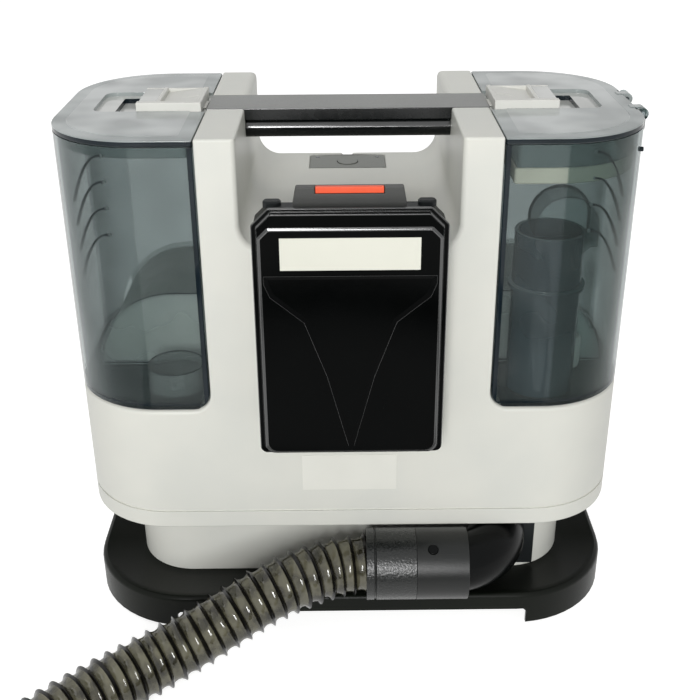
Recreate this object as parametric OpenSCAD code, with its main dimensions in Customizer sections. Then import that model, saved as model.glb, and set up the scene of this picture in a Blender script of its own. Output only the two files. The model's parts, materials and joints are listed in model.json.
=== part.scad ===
// Portable carpet and upholstery cleaner: a battery machine that stands on a tray base, with a
// clean-water tank on the left, a recovery tank on the right, a carry handle between them, a
// battery pack on the front and a suction hose with a hand tool.
// Millimetres, +Z up, front towards -Y. The origin is the middle of the base, on the floor.

/* [Housing] */
// Width of the housing and tanks together
body_w = 340; // [330:1:360]
// Depth of the housing
body_d = 172; // [168:1:184]
// Corner radius of the housing in plan
body_r = 55; // [50:1:60]
// Height of the top of the posts and lids
body_top = 316; // [310:1:330]
// Height of the housing's lower edge
skirt_z = 66.5; // [66:0.5:69]
// Height of the shelf that the tanks stand on
bay_z = 151; // [146:1:156]
// Wall thickness of the housing shells
shell_t = 3; // [2.5:0.25:3.5]
// Height of the belt groove round the housing
groove_z = 78; // [76:1:84]
// Height of the belt groove's opening
groove_h = 1.6; // [1:0.2:2.4]
// Depth of the belt groove
groove_in = 1.2; // [0.8:0.2:1.6]

/* [Posts and deck] */
// Half distance between the posts' inner faces
post_in = 61; // [60:0.5:62]
// Half distance between the posts' outer faces
post_out = 83.5; // [83:0.5:86]
// Height of the deck at its back edge
deck_back_z = 260; // [256:1:262]
// Height of the deck at its front edge
deck_front_z = 252; // [248:1:254]
// Radius where the deck runs up into the posts
deck_fillet = 15; // [10:1:18]
// Reach of the hump in each bay, from the post outwards
hump_w = 75; // [70:1:76]
// Height of the hump above the shelf
hump_h = 49; // [40:1:55]
// Radius of the hump's outer shoulder
hump_r = 47; // [38:1:47]
// Distance of the hump's front face behind the housing's front
hump_from_front = 60; // [59:1:62]
// Distance of the hump's back face before the housing's back
hump_from_back = 24; // [22:1:28]
// Radius of the window's lower inner corner
window_r = 11; // [8:1:13]

/* [Base and waist] */
// Width of the base tray
base_w = 340; // [336:1:350]
// Depth of the base tray
base_d = 208; // [206:1:216]
// Corner radius of the base tray in plan
base_r = 65; // [60:1:70]
// Height of the tray's rim
rim_z = 24.6; // [23:0.1:24.6]
// Width of the tray's rim
rim_t = 11; // [9:1:12]
// Thickness of the tray's walls and floor
tray_t = 3; // [2.5:0.5:4]
// Lower edge of the tray's wall at the feet
tray_low = 1.6; // [1:0.2:2]
// Lower edge of the tray's wall between the feet
arch_z = 13; // [11:0.5:13.5]
// Half width of the raised stretch between the feet
arch_x = 112; // [100:1:116]
// Radius of a rubber foot
foot_r = 13; // [10:1:15]
// Height of a rubber foot
foot_h = 4; // [3:0.5:5]
// Distance of a foot from the side of the tray
foot_side = 34; // [30:1:40]
// Distance of a foot from the front or back of the tray
foot_end = 32; // [30:1:36]
// Depth of the tray's top below its rim
dish_rise = 7.6; // [5:0.1:8]
// Width of the waist
waist_w = 286; // [280:1:288]
// Depth of the waist
waist_d = 130; // [128:1:132]
// Corner radius of the waist in plan
waist_r = 38; // [34:1:42]

/* [Handle] */
// Depth of the handle, front to back
grip_d = 36; // [32:1:40]
// Height of the glossy grip below the cover
grip_h = 11; // [9:0.5:12]
// Thickness of the handle's top cover
cover_t = 7; // [6:0.5:8]

/* [Tanks] */
// Wall thickness of a tank
tank_wall = 2.4; // [2:0.2:2.8]
// Gap between a tank and the housing
tank_gap = 0.5; // [0.4:0.1:0.8]
// Thickness of a lid
lid_t = 4; // [3.6:0.1:5]
// Gap between parts that only rest on each other
seat_gap = 0.3; // [0.2:0.05:0.4]
// Outer radius of the standpipe
pipe_r = 20.3; // [19:0.1:20.5]
// Wall thickness of the standpipe
pipe_wall = 2; // [1.5:0.25:2.5]
// Height of the standpipe's flange
flange_z = 220; // [210:1:226]
// Reach of the standpipe's flange beyond the pipe
flange_t = 2.4; // [1.5:0.1:2.5]
// Place of the standpipe's axis across the tank, as a share of the tank's width
pipe_share = 0.37; // [0.36:0.005:0.38]
// Distance of the standpipe's axis behind the tank's front wall
pipe_front = 26; // [25:0.5:27]
// Height of the standpipe's open top
pipe_top = 255; // [250:1:258]
// Height of the top of the deflector hood
hood_top = 278; // [274:1:282]
// Radius of the float
float_r = 8; // [6:0.5:8]
// Height of the float
float_h = 22; // [18:1:26]
// Travel of the float
float_travel = 24; // [15:1:24]
// Depth of the lid's plug below the lid
plug_h = 23; // [20:1:24]
// Height of the lid's gasket
gasket_h = 9; // [6:0.5:10]
// Radius of the valve cap in the clean tank
valve_r = 15; // [13:0.5:16]
// Place of the valve's axis across the tank, as a share of the tank's width
valve_share = 0.254; // [0.24:0.005:0.3]
// Distance of the valve's axis behind the tank's front wall
valve_front = 29; // [27:1:32]

/* [Hinge and latches] */
// Radius of the hinge pins
pin_r = 1.5; // [1.2:0.1:1.8]
// Radial clearance of a running fit
run_gap = 0.05; // [0.03:0.01:0.08]
// Radius of the hinge knuckles
knuckle_r = 3.6; // [3.2:0.1:4]
// Width of a hinge knuckle
knuckle_w = 6; // [5:0.5:8]
// Half distance between the hinge knuckles
hinge_y = 20; // [16:1:26]
// Length of a latch, in X
latch_l = 38; // [34:1:40]
// Half width of a latch, in Y
latch_y = 22; // [20:1:23]
// How far a latch stands above its lid
latch_up = 4.7; // [4:0.1:5]
// Travel of a latch from shut to its rest place
latch_in = 2; // [1.5:0.1:2.2]
// Travel of a latch from its rest place to open
latch_out = 10; // [6:1:12]

/* [Battery] */
// Width of the battery pack
bat_w = 104; // [100:1:106]
// Height of the battery pack
bat_h = 147; // [142:1:148]
// Lower edge of the battery pack
bat_z = 141; // [138:1:144]
// Depth of the pack's back case
case_d = 30; // [29:0.5:32]
// Depth of the pack's front cover
cover_d = 6; // [5:0.5:7]
// Wall thickness of the pack
bat_t = 3; // [2.5:0.25:3]
// Chamfer of the pack's top corners
bat_cut = 9; // [6:0.5:10]
// Diameter of a cell
cell_d = 18.2; // [17:0.1:18.2]
// Length of a cell
cell_l = 65; // [60:0.5:66]
// Half width of the dock's rail head
rail_x = 38; // [34:1:40]
// Half width of the dock's rail neck
neck_x = 30; // [26:1:32]
// Height of the dock's rail
rail_h = 90; // [80:1:94]
// Thickness of the dock's rail head
rail_t = 4; // [3.5:0.25:4]
// Clearance of the battery on its rail
rail_gap = 0.4; // [0.3:0.05:0.5]
// Half width of the release key at its foot
key_x = 30.2; // [28:0.2:32]
// Height of the release key above the pack
key_up = 8; // [6:0.5:9]
// Distance of the release key behind the case's front
key_front = 8.5; // [8:0.5:9]
// Depth of the release key, front to back
key_d = 12; // [10:0.5:12]
// Travel of the release key
key_travel = 3; // [2:0.5:3]

/* [Panel] */
// Width of the control panel
panel_w = 51; // [46:1:54]
// Length of the control panel along the deck
panel_l = 26; // [25:1:28]
// Distance of the panel's middle behind the housing's middle
panel_y = 67; // [65:1:68]
// Radius of the power button
button_r = 6.8; // [6:0.1:7.5]
// Travel of the power button
button_travel = 1.2; // [0.8:0.1:1.4]

/* [Hose port] */
// Height of the hose port's axis
port_z = 47.4; // [47.4:0.1:47.8]
// Radius of the port elbow
elbow_r = 18.8; // [18:0.1:18.8]
// Bend radius of the port elbow
elbow_bend = 35; // [34:0.5:36]
// Place of the elbow's straight end, in X
elbow_x = 60; // [58:1:62]
// Outer radius of the connector and cuff
cuff_r = 22.4; // [22:0.1:22.4]
// Length of the connector
socket_l = 32; // [30:1:34]
// Length of the hose cuff
cuff_l = 31; // [28:1:34]
// Outer radius of the suction hose
hose_r = 19; // [18.5:0.1:19]

/* [Inside] */
// Radius of the suction motor
motor_r = 38; // [34:1:40]
// Height of the suction motor's lower end
motor_z = 95; // [93:1:97]
// Length of the suction motor
motor_l = 68; // [60:1:70]
// Reach of the motor's bracket beyond the motor
bracket_t = 10; // [9:0.5:10]
// Radius of the fan housing
fan_r = 52; // [48:1:54]
// Height of the fan housing
fan_h = 32; // [28:1:34]
// Radius of the motor shaft
shaft_r = 4; // [3:0.5:5]
// Place of the motor, in Y
motor_y = 14; // [12:1:16]
// Radius of the screw shanks
screw_r = 1.9; // [1.5:0.1:2]
// Distance of the lower screws from the housing's sides
screw_side = 42; // [40:1:46]
// Height of the lower screws
screw_z = 95; // [90:1:100]
// Radius of the opening into the fan
eye_r = 22; // [18:1:24]
// Half width of the fan's outlet
outlet_x = 26; // [22:1:28]
// Wall thickness of the fan housing and ducts
duct_t = 2; // [1.5:0.25:2.5]
// Half depth of the suction duct
duct_half = 31; // [24:1:33]
// Radius of the water lines
line_r = 3; // [2.5:0.5:3]

/* [Hidden] */
$fn = 64;

// Colours
grey = "#dededa";
black = "#1a1d1e";
gloss = "#0c0e10";
smoke = [0.45, 0.52, 0.55, 0.45];
white = "#f0f0ec";

// Derived levels and faces
front_y = -body_d / 2;
back_y = body_d / 2;
tray_z = rim_z - dish_rise;
foot_x = base_w / 2 - foot_side;
foot_y = base_d / 2 - foot_end;
hump_front = front_y + hump_from_front;
hump_back = back_y - hump_from_back;
deck_slope = atan((deck_back_z - deck_front_z) / body_d);
deck_mid_z = (deck_back_z + deck_front_z) / 2;
cover_z = body_top - cover_t;
grip_z = cover_z - grip_h;
tank_in = post_out + tank_gap;
tank_floor = bay_z + tank_gap;
tank_inner = body_w / 2 - tank_in - 2 * tank_wall;
pipe_x = tank_in + tank_wall + pipe_share * tank_inner;
pipe_y = max(front_y + pipe_front, foremost(pipe_x, pipe_r + flange_t));
hood_x = pipe_x + 7;
hood_r = pipe_r - 1.8;
hood_y = max(pipe_y - 12, foremost(hood_x + hood_r, 0));
float_x = pipe_x + 21;
float_y = pipe_y + 20.5;
valve_x = -tank_in - tank_wall - valve_share * tank_inner;
valve_y = front_y + valve_front;
lid_z = body_top - lid_t;
rim_top = lid_z - seat_gap;
hump_x = post_out + hump_w;
pin_x = body_w / 2 + 2.5;
pin_z = lid_z + 0.4;
ear_w = 4;
latch_x = post_out + 2.5;
pocket_z = lid_z + 1.6;
pocket_l = 66;
tongue_y = 8;
tongue_t = 0.8;
tongue_z = pocket_z + seat_gap;
bat_back = front_y - 0.6;
case_y = bat_back - case_d;
cover_y = case_y - cover_d;
rail_z = bat_z + 9;
head_y = front_y - 5;
key_z = bat_z + bat_h;
key_y = case_y + key_front + key_d / 2;
key_low = key_z - 5;
port_y = -100;
port_x = elbow_x + elbow_bend;
socket_x = elbow_x - 20;
cuff_x = socket_x - cuff_l;
fan_z = motor_z + motor_l;
duct_z = fan_z + fan_h;
boss_r = 5;
boss_places = [[screw_side - body_w / 2, screw_z], [body_w / 2 - screw_side, screw_z],
    [-(post_in + post_out) / 2, grip_z + 5], [(post_in + post_out) / 2, grip_z + 5]];
eps = 0.01;

// How far forward a round thing of radius r may stand at x without meeting a tank's front corner
function foremost(x, r) = front_y + body_r
    - sqrt(pow(body_r - tank_wall - r - 0.4, 2) - pow(max(x - body_w / 2 + body_r, 0), 2));

// The suction hose: from the cuff over the tray's rim, down to the floor, and into its loop
hose_route = [
    [17, -100, 47.4], [9, -100, 47.4], [-9, -103, 47], [-27, -110, 46], [-46, -119, 43],
    [-66, -129, 37], [-86, -140, 30], [-106, -151, 24], [-126, -164, 20.5], [-146, -180, 19],
    [-178, -211, 19], [-204, -247, 19], [-223, -286, 19], [-235, -329, 19], [-240, -377, 19],
    [-240, -430, 19]];
loop_x = -30;
loop_y = -430;
loop_r = 210;
tail_r = 160;
tool_x = loop_x + loop_r - tail_r;
tool_y = loop_y + tail_r;
tool_z = cuff_r;
hose_fit = 0.4;

// The pump fills the room between the screw boss and the motor's bracket; its two water lines are
// clipped inside the housing
pump_room = body_w / 2 - screw_side - boss_r - motor_r - bracket_t;
pump_x = -motor_r - bracket_t - 0.56 * pump_room;
pump_head = 0.4 * pump_room;
pump_reach = 0.32 * pump_room;
line_x = -motor_r - bracket_t - 0.134 * pump_room;
pump_y = 12;
pump_z = 92;
inlet_route = [[valve_x + 5, valve_y, 130], [valve_x + 5, valve_y, 98], [valve_x + 5, pump_y + 4, 98]];
outlet_route = [[pump_x + pump_reach - 2, pump_y + 18, pump_z], [line_x, pump_y + 18, pump_z],
    [line_x, pump_y + 18, 80], [line_x, -50, 80], [62, -50, 80], [62, -50, 40], [port_x - elbow_r + 2, -50, 40]];

function unit(v) = v / norm(v);
function heading(path, i) = unit(path[min(i + 1, len(path) - 1)] - path[max(i - 1, 0)]);
function across(t) = unit(cross(t, [0, 0, 1]));
function ring(c, t, r, sides) = let (s = across(t), u = cross(s, t))
    [for (j = [0:sides - 1]) c + r * (cos(360 * j / sides) * s + sin(360 * j / sides) * u)];

// A round tube along a path of points, closed at both ends
module swept(path, r, sides) {
    n = len(path);
    points = [for (i = [0:n - 1]) each ring(path[i], heading(path, i), r, sides)];
    faces = concat(
        [[for (j = [sides - 1:-1:0]) j]],
        [for (i = [0:n - 2]) for (j = [0:sides - 1]) let (k = (j + 1) % sides)
            [i * sides + j, i * sides + k, (i + 1) * sides + k]],
        [for (i = [0:n - 2]) for (j = [0:sides - 1]) let (k = (j + 1) % sides)
            [i * sides + j, (i + 1) * sides + k, (i + 1) * sides + j]],
        [[for (j = [0:sides - 1]) (n - 1) * sides + j]]);
    polyhedron(points, faces);
}

// A rigid water line: straight runs with round knees
module pipe_run(path, r) {
    for (i = [0:len(path) - 2]) {
        d = path[i + 1] - path[i];
        translate(path[i]) rotate([0, acos(d[2] / norm(d)), atan2(d[1], d[0])]) cylinder(r = r, h = norm(d));
    }
    for (i = [1:len(path) - 2]) translate(path[i]) sphere(r = r + 0.8);
}

// A rounded rectangle in plan, centred
module plan(w, d, r) {
    square([w - 2 * r, d], center = true);
    square([w, d - 2 * r], center = true);
    for (x = [-1, 1], y = [-1, 1]) translate([x * (w / 2 - r), y * (d / 2 - r)]) circle(r);
}

module body_plan(inset) {
    plan(body_w - 2 * inset, body_d - 2 * inset, body_r - inset);
}

// The part of the body's plan outside the right-hand post
module side_plan(inset, inner_x) {
    intersection() {
        body_plan(inset);
        translate([inner_x, -body_d]) square([body_w, 2 * body_d]);
    }
}

module slab(z0, z1) {
    translate([0, 0, z0]) linear_extrude(z1 - z0) children();
}

// A bar along Y whose outline is drawn in X and Z
module along_y(y0, y1) {
    translate([0, y1, 0]) rotate([90, 0, 0]) linear_extrude(y1 - y0) children();
}

module box(x0, x1, y0, y1, z0, z1) {
    translate([x0, y0, z0]) cube([x1 - x0, y1 - y0, z1 - z0]);
}

// What is left of a square's corner outside a round of radius r
module corner(r) {
    difference() {
        square(r);
        translate([r, r]) circle(r);
    }
}

// A frame lying on the sloping deck, y behind the housing's middle
module on_deck(y) {
    translate([0, 0, deck_mid_z]) rotate([deck_slope, 0, 0]) translate([0, y, 0]) children();
}

// The open channel between the posts, grown by some millimetres on the inside
module channel(grow) {
    on_deck(0) along_y(-body_d, body_d) {
        translate([-post_in - grow, deck_fillet - grow]) square([2 * (post_in + grow), body_top]);
        translate([-post_in + deck_fillet, -grow]) square([2 * (post_in - deck_fillet), body_top]);
        for (x = [-1, 1]) translate([x * (post_in - deck_fillet), deck_fillet]) circle(deck_fillet + grow);
    }
}

// Outline of a bay's hump, from the post outwards
module hump_outline(grow) {
    difference() {
        translate([post_out - eps, bay_z - eps]) square([hump_w + grow + eps, hump_h + grow + eps]);
        translate([hump_x - hump_r, bay_z + hump_h - hump_r]) difference() {
            square(hump_r + grow + 1);
            circle(hump_r + grow);
        }
    }
}

module hump(grow) {
    along_y(hump_front - grow, hump_back + grow) hump_outline(grow);
}

module both_sides() {
    children();
    mirror([1, 0, 0]) children();
}

// ---------------------------------------------------------------- base and waist

module tray_plan(inset) {
    plan(base_w - 2 * inset, base_d - 2 * inset, base_r - inset);
}

module base_tray() color(black) {
    difference() {
        slab(tray_low, rim_z) tray_plan(0);
        slab(tray_z, rim_z + 1) tray_plan(rim_t);
        slab(-1, tray_z - tray_t) tray_plan(tray_t);
        for (y = [-1, 1]) translate([0, y * base_d / 2, 0])
            box(-arch_x, arch_x, -base_r / 2, base_r / 2, -1, arch_z);
    }
    for (x = [-foot_x, foot_x], y = [-foot_y, foot_y]) translate([x, y, foot_h])
        cylinder(r = foot_r + 2, h = tray_z - tray_t - foot_h + eps);
}

module rubber_feet() color("#2a2c2d") {
    for (x = [-foot_x, foot_x], y = [-foot_y, foot_y]) translate([x, y, 0]) cylinder(r = foot_r, h = foot_h);
}

module waist_shell() color(grey) {
    difference() {
        slab(tray_z, skirt_z) plan(waist_w, waist_d, waist_r);
        slab(tray_z - 1, skirt_z + 1) plan(waist_w - 2 * shell_t, waist_d - 2 * shell_t, waist_r - shell_t);
        port_window(seat_gap);
    }
}

module port_window(gap) {
    box(port_x - 16 - gap, port_x + 26 + gap, -waist_d / 2 - 5, -waist_d / 2 + 10, tray_z + 3 - gap, skirt_z + 1);
}

module bottom_plate() color("#c4c6c0") {
    difference() {
        slab(skirt_z, skirt_z + shell_t) body_plan(shell_t + seat_gap);
        translate([port_x, duct_y(), skirt_z - 1]) cylinder(r = elbow_r - 1 + seat_gap, h = shell_t + 2);
        translate([62, -50, skirt_z - 1]) cylinder(r = line_r + 1, h = shell_t + 2);
    }
}

// ---------------------------------------------------------------- housing

module housing_solid() {
    slab(skirt_z, bay_z) body_plan(0);
    box(-post_out, post_out, front_y, back_y, bay_z - eps, body_top);
    both_sides() {
        hump(0);
        along_y(front_y, back_y) translate([post_out - eps, bay_z - eps]) corner(window_r);
    }
}

module housing_hollow() {
    slab(skirt_z - 1, bay_z - shell_t) body_plan(shell_t);
    difference() {
        box(-post_out + shell_t, post_out - shell_t, front_y + shell_t, back_y - shell_t, bay_z - shell_t - eps,
            body_top - shell_t);
        channel(shell_t);
    }
    both_sides() intersection() {
        translate([-shell_t, 0, -shell_t]) hump(0);
        box(0, hump_x, hump_front + shell_t, hump_back - shell_t, bay_z - shell_t - eps, body_top);
    }
}

module handle_slot(gap) {
    box(-post_out - 1, post_out + 1, -grip_d / 2 - gap, grip_d / 2 + gap, cover_z, body_top + 1);
}

module housing_whole() {
    difference() {
        union() {
            difference() {
                housing_solid();
                housing_hollow();
            }
            both_sides() box(post_in, post_out, -grip_d / 2 - shell_t, grip_d / 2 + shell_t,
                cover_z - shell_t, body_top);
            for (p = boss_places) intersection() {
                translate([p[0], back_y - eps, p[1]]) rotate([90, 0, 0])
                    cylinder(r = boss_r, h = body_d - 2 * eps);
                housing_solid();
            }
        }
        channel(0);
        handle_slot(seat_gap);
        slab(groove_z, groove_z + groove_h) difference() {
            square([2 * body_w, 2 * body_d], center = true);
            body_plan(groove_in);
        }
        for (p = boss_places) translate([p[0], back_y + 1, p[1]]) rotate([90, 0, 0]) {
            cylinder(r = screw_r + run_gap, h = body_d - 30);
            cylinder(r = 4, h = 7);
        }
        on_deck(panel_y) panel_pocket();
        on_deck(0) along_y(back_y - 5, back_y + 5) polygon([[-4, 1], [4, 1], [2.5, -3.5], [-2.5, -3.5]]);
        translate([pipe_x, pipe_y, bay_z - 10]) cylinder(r = pipe_r - 3, h = 20);
        translate([valve_x, valve_y, bay_z - 10]) cylinder(r = 12, h = 20);
        suction_port(post_out - 10, post_out + 1);
        box(-34, 34, back_y - 10, back_y + 1, 108, 152);
    }
}

// The way from the recovery tank into the suction duct
module suction_port(x0, x1) {
    box(x0, x1, 0, 30, rim_top - plug_h - 26, rim_top - plug_h - 6);
}

module housing_front() color(grey) {
    intersection() {
        housing_whole();
        box(-body_w, body_w, -body_d, 0, 0, body_top + 10);
    }
}

module housing_rear() color(grey) {
    intersection() {
        housing_whole();
        box(-body_w, body_w, 0, body_d, 0, body_top + 10);
    }
}

module housing_screws() color("silver") {
    for (p = boss_places) translate([p[0], back_y - 6, p[1]]) rotate([90, 0, 0]) {
        cylinder(r = screw_r, h = body_d - 50);
        difference() {
            translate([0, 0, -2.4]) cylinder(r = 3.6, h = 2.4);
            translate([-0.5, -2.2, -3]) cube([1, 4.4, 1.8]);
            translate([-2.2, -0.5, -3]) cube([4.4, 1, 1.8]);
        }
    }
}

module exhaust_grille() color("#c4c6c0") {
    difference() {
        union() {
            box(-34 + seat_gap, 34 - seat_gap, back_y - shell_t - 1, back_y, 108 + seat_gap, 152 - seat_gap);
            box(-38, 38, back_y - shell_t - 1.5, back_y - shell_t, 104, 156);
        }
        for (i = [0:5]) box(-29, 29, back_y - 5, back_y + 1, 112.5 + 6.2 * i, 115.9 + 6.2 * i);
    }
}

// ---------------------------------------------------------------- handle

module handle_grip() color(gloss) {
    r = grip_h / 2;
    translate([-post_in, 0, 0]) rotate([90, 0, 90]) linear_extrude(2 * post_in) {
        translate([-grip_d / 2, grip_z + r]) square([grip_d, r]);
        translate([r - grip_d / 2, grip_z]) square([grip_d - 2 * r, grip_h]);
        for (y = [-1, 1]) translate([y * (grip_d / 2 - r), grip_z + r]) circle(r);
    }
}

module handle_cover() color("#6f7173") {
    difference() {
        box(-post_out, post_out, -grip_d / 2, grip_d / 2, cover_z, body_top);
        both_sides() box(post_out - latch_in - 1, post_out + 1, -tongue_y - 0.5, tongue_y + 0.5,
            tongue_z - 0.4, tongue_z + tongue_t + seat_gap);
    }
}

// ---------------------------------------------------------------- control panel

panel_t = 2;
board_drop = 12;
lamp_x = panel_w / 2 - 5;

module panel_pocket() {
    box(-panel_w / 2 - 0.2, panel_w / 2 + 0.2, -panel_l / 2 - 0.2, panel_l / 2 + 0.2, -panel_t, 20);
    box(-panel_w / 2 + 2, panel_w / 2 - 2, -panel_l / 2 + 2, panel_l / 2 - 2, -20, 20);
}

module control_panel() color("#72756f") {
    on_deck(panel_y) difference() {
        union() {
            box(-panel_w / 2, panel_w / 2, -panel_l / 2, panel_l / 2, -panel_t, 0);
            for (x = [-1, 1]) translate([x * (panel_w / 2 - 5), -panel_l / 2 + 5, -board_drop])
                cylinder(r = 2, h = board_drop - 1);
        }
        translate([0, 0, -panel_t - 1]) cylinder(r = button_r + 0.3, h = panel_t + 2);
        for (x = [-lamp_x, lamp_x]) translate([x, panel_l / 2 - 4, -panel_t - 1]) cylinder(r = 1.25, h = 5);
    }
}

module power_button() color("#5c5f5c") {
    on_deck(panel_y) {
        translate([0, 0, -3]) cylinder(r = button_r, h = 3.4);
        translate([0, 0, -board_drop + button_travel + 0.4]) cylinder(r = 2, h = board_drop - 3);
        translate([0, 0, -5]) cylinder(r = button_r + 1.2, h = 5 - panel_t - 0.3);
    }
}

module panel_lamps() color("#e8f4ff") {
    on_deck(panel_y) for (x = [-lamp_x, lamp_x]) translate([x, panel_l / 2 - 4, -board_drop])
        cylinder(r = 1.2, h = board_drop + 0.1);
}

module control_board() color("darkgreen") {
    on_deck(panel_y) box(-panel_w / 2 + 1, panel_w / 2 - 1, -panel_l / 2 + 1, 14, -board_drop - 1.6, -board_drop);
}

// ---------------------------------------------------------------- motor, fan and ducts

module suction_motor() color("#8a8d90") {
    translate([0, motor_y, motor_z]) difference() {
        union() {
            cylinder(r = motor_r, h = motor_l);
            translate([0, 0, -6]) cylinder(r = 12, h = 7);
        }
        translate([0, 0, 10]) cylinder(r = shaft_r + run_gap, h = motor_l);
    }
}

module motor_bracket() color("#3a3d40") {
    deck = motor_z;
    difference() {
        union() {
            translate([0, motor_y, deck - 3]) cylinder(r = motor_r + bracket_t, h = 3);
            translate([0, motor_y, deck]) cylinder(r = motor_r + 3, h = 14);
            for (a = [45:90:315]) translate([(motor_r + 4) * cos(a), motor_y + (motor_r + 4) * sin(a), skirt_z + shell_t])
                cylinder(r = 4, h = deck - skirt_z - shell_t - 2);
        }
        translate([0, motor_y, deck]) cylinder(r = motor_r + seat_gap / 2, h = 20);
        translate([0, motor_y, deck - 10]) cylinder(r = 12 + seat_gap / 2, h = 20);
    }
}

module impeller() color("#b9bcc0") {
    translate([0, motor_y, 0]) {
        translate([0, 0, motor_z + 12]) cylinder(r = shaft_r, h = motor_l + fan_h - 22);
        translate([0, 0, fan_z + 5]) cylinder(r = fan_r - 8, h = 1.5);
        for (a = [0:40:320]) rotate(a) translate([eye_r / 2 - 1, -0.6, fan_z + 6])
            cube([fan_r - eye_r / 2 - 9, 1.2, fan_h - 20]);
        translate([0, 0, fan_z + 5]) cylinder(r = eye_r / 2, h = fan_h - 19);
    }
}

module fan_housing() color("#2c2f31") {
    translate([0, motor_y, fan_z]) difference() {
        union() {
            cylinder(r = fan_r, h = fan_h);
            box(-outlet_x, outlet_x, fan_r - eye_r, back_y - shell_t - motor_y, 0, fan_h);
        }
        translate([0, 0, duct_t]) cylinder(r = fan_r - duct_t, h = fan_h - 2 * duct_t);
        translate([0, 0, -1]) cylinder(r = shaft_r + 2, h = duct_t + 2);
        translate([0, 0, fan_h - duct_t - 1]) cylinder(r = eye_r, h = duct_t + 2);
        box(duct_t - outlet_x, outlet_x - duct_t, fan_r - eye_r, back_y - motor_y - shell_t - 2 * duct_t,
            duct_t, fan_h - duct_t);
        box(duct_t - outlet_x, outlet_x - duct_t, back_y - motor_y - eye_r, back_y - motor_y - shell_t - 2 * duct_t,
            -1, duct_t + 1);
    }
}

module suction_duct() color("#3a3d40") {
    y0 = motor_y + 1 - duct_half;
    y1 = motor_y + 1 + duct_half;
    x1 = post_out - shell_t - seat_gap;
    x0 = x1 - 15;
    top = rim_top - plug_h - 4;
    difference() {
        union() {
            box(-eye_r - 6, x0 + 5, y0, y1, duct_z, duct_z + eye_r);
            box(x0, x1, y0, y1, duct_z, top);
        }
        translate([0, motor_y, duct_z - 1]) cylinder(r = eye_r, h = duct_t + 2);
        box(duct_t - eye_r - 6, x0 + 5, y0 + duct_t, y1 - duct_t, duct_z + duct_t, duct_z + eye_r - duct_t);
        box(x0 + duct_t, x1 - duct_t, y0 + duct_t, y1 - duct_t, duct_z + duct_t, top - duct_t);
        suction_port(x1 - 5, x1 + 1);
    }
}

function duct_y() = -waist_d / 2 + shell_t + elbow_r + 3;

// Plan of the box that leads from the rising duct to below the standpipe
module plenum_plan(inset) {
    r = pipe_r - 1.8;
    translate([pipe_x, pipe_y]) circle(r - inset);
    translate([port_x - elbow_r + 1 + inset, pipe_y])
        square([pipe_x + r - port_x + elbow_r - 1 - 2 * inset, duct_y() + elbow_r - 1 - pipe_y - inset]);
    translate([port_x - elbow_r + 1 + inset, pipe_y - r + inset])
        square([pipe_x - port_x + elbow_r - 1 - inset, r]);
}

module recovery_duct() color("#3a3d40") {
    r = elbow_r - 1;
    plenum_z = bay_z - shell_t - 22;
    difference() {
        union() {
            translate([port_x, duct_y(), tray_z + 6]) cylinder(r = r, h = plenum_z - tray_z - 5);
            translate([port_x, duct_y(), port_z]) rotate([90, 0, 0])
                cylinder(r = r, h = duct_y() + waist_d / 2 - shell_t);
            slab(plenum_z, bay_z - shell_t) plenum_plan(0);
        }
        translate([port_x, duct_y(), tray_z + 8]) cylinder(r = r - 2, h = plenum_z - tray_z - 4);
        translate([port_x, duct_y(), port_z]) rotate([90, 0, 0]) cylinder(r = r - 2, h = 60);
        slab(plenum_z + 2, bay_z) plenum_plan(2);
        translate([port_x - r - 1, -50, 40]) rotate([0, 90, 0]) cylinder(r = line_r, h = r);
    }
}

// ---------------------------------------------------------------- water

module water_pump() color("#30343a") {
    difference() {
        box(pump_x - pump_head, pump_x, pump_y, pump_y + 36, skirt_z + shell_t, pump_z + 26);
        translate([valve_x + 5, pump_y + 4, 98]) rotate([90, 0, 0]) cylinder(r = line_r, h = 6);
    }
    difference() {
        translate([pump_x - eps, pump_y + 18, pump_z]) rotate([0, 90, 0]) cylinder(r = 17, h = pump_reach);
        translate([pump_x + pump_reach - 2, pump_y + 18, pump_z]) rotate([0, 90, 0])
            cylinder(r = line_r, h = 6);
    }
}

module pump_inlet_tube() color("#c8d0d4") pipe_run(inlet_route, line_r);

module pump_outlet_tube() color("#c8d0d4") pipe_run(outlet_route, line_r);

module valve_socket() color("#30343a") {
    translate([valve_x, valve_y, 0]) difference() {
        union() {
            translate([0, 0, 130]) cylinder(r = 12 - run_gap, h = bay_z - 130);
            translate([0, 0, bay_z - shell_t - 4]) cylinder(r = 15, h = 4);
        }
        translate([0, 0, 134]) difference() {
            cylinder(r = 10, h = 30);
            translate([0, 0, -1]) cylinder(r = 1.6, h = 8);
        }
        translate([5, 0, 120]) cylinder(r = line_r - 1, h = 20);
    }
}

module valve_cap() color("#8fa0a8") {
    translate([valve_x, valve_y, 0]) difference() {
        union() {
            translate([0, 0, tank_floor + tank_wall]) cylinder(r = valve_r, h = 8.2);
            translate([0, 0, 143]) cylinder(r = 9, h = tank_floor + tank_wall - 143 + 1);
        }
        translate([0, 0, 145]) cylinder(r = 6.5, h = 15.4);
        translate([0, 0, 140]) cylinder(r = 2.6, h = 10);
        for (a = [0:60:300]) rotate(a) box(5, valve_r + 1, -2, 2, tank_floor + tank_wall + 1, 159);
    }
}

module valve_plunger() color("#d8dcde") {
    translate([valve_x, valve_y, 0]) {
        translate([0, 0, 141 + seat_gap]) cylinder(r = 2.3, h = 15);
        translate([0, 0, 145 + seat_gap]) cylinder(r = 5.5, h = 1.6);
    }
}

spring_z = 147.2;
spring_h = 12;

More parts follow.
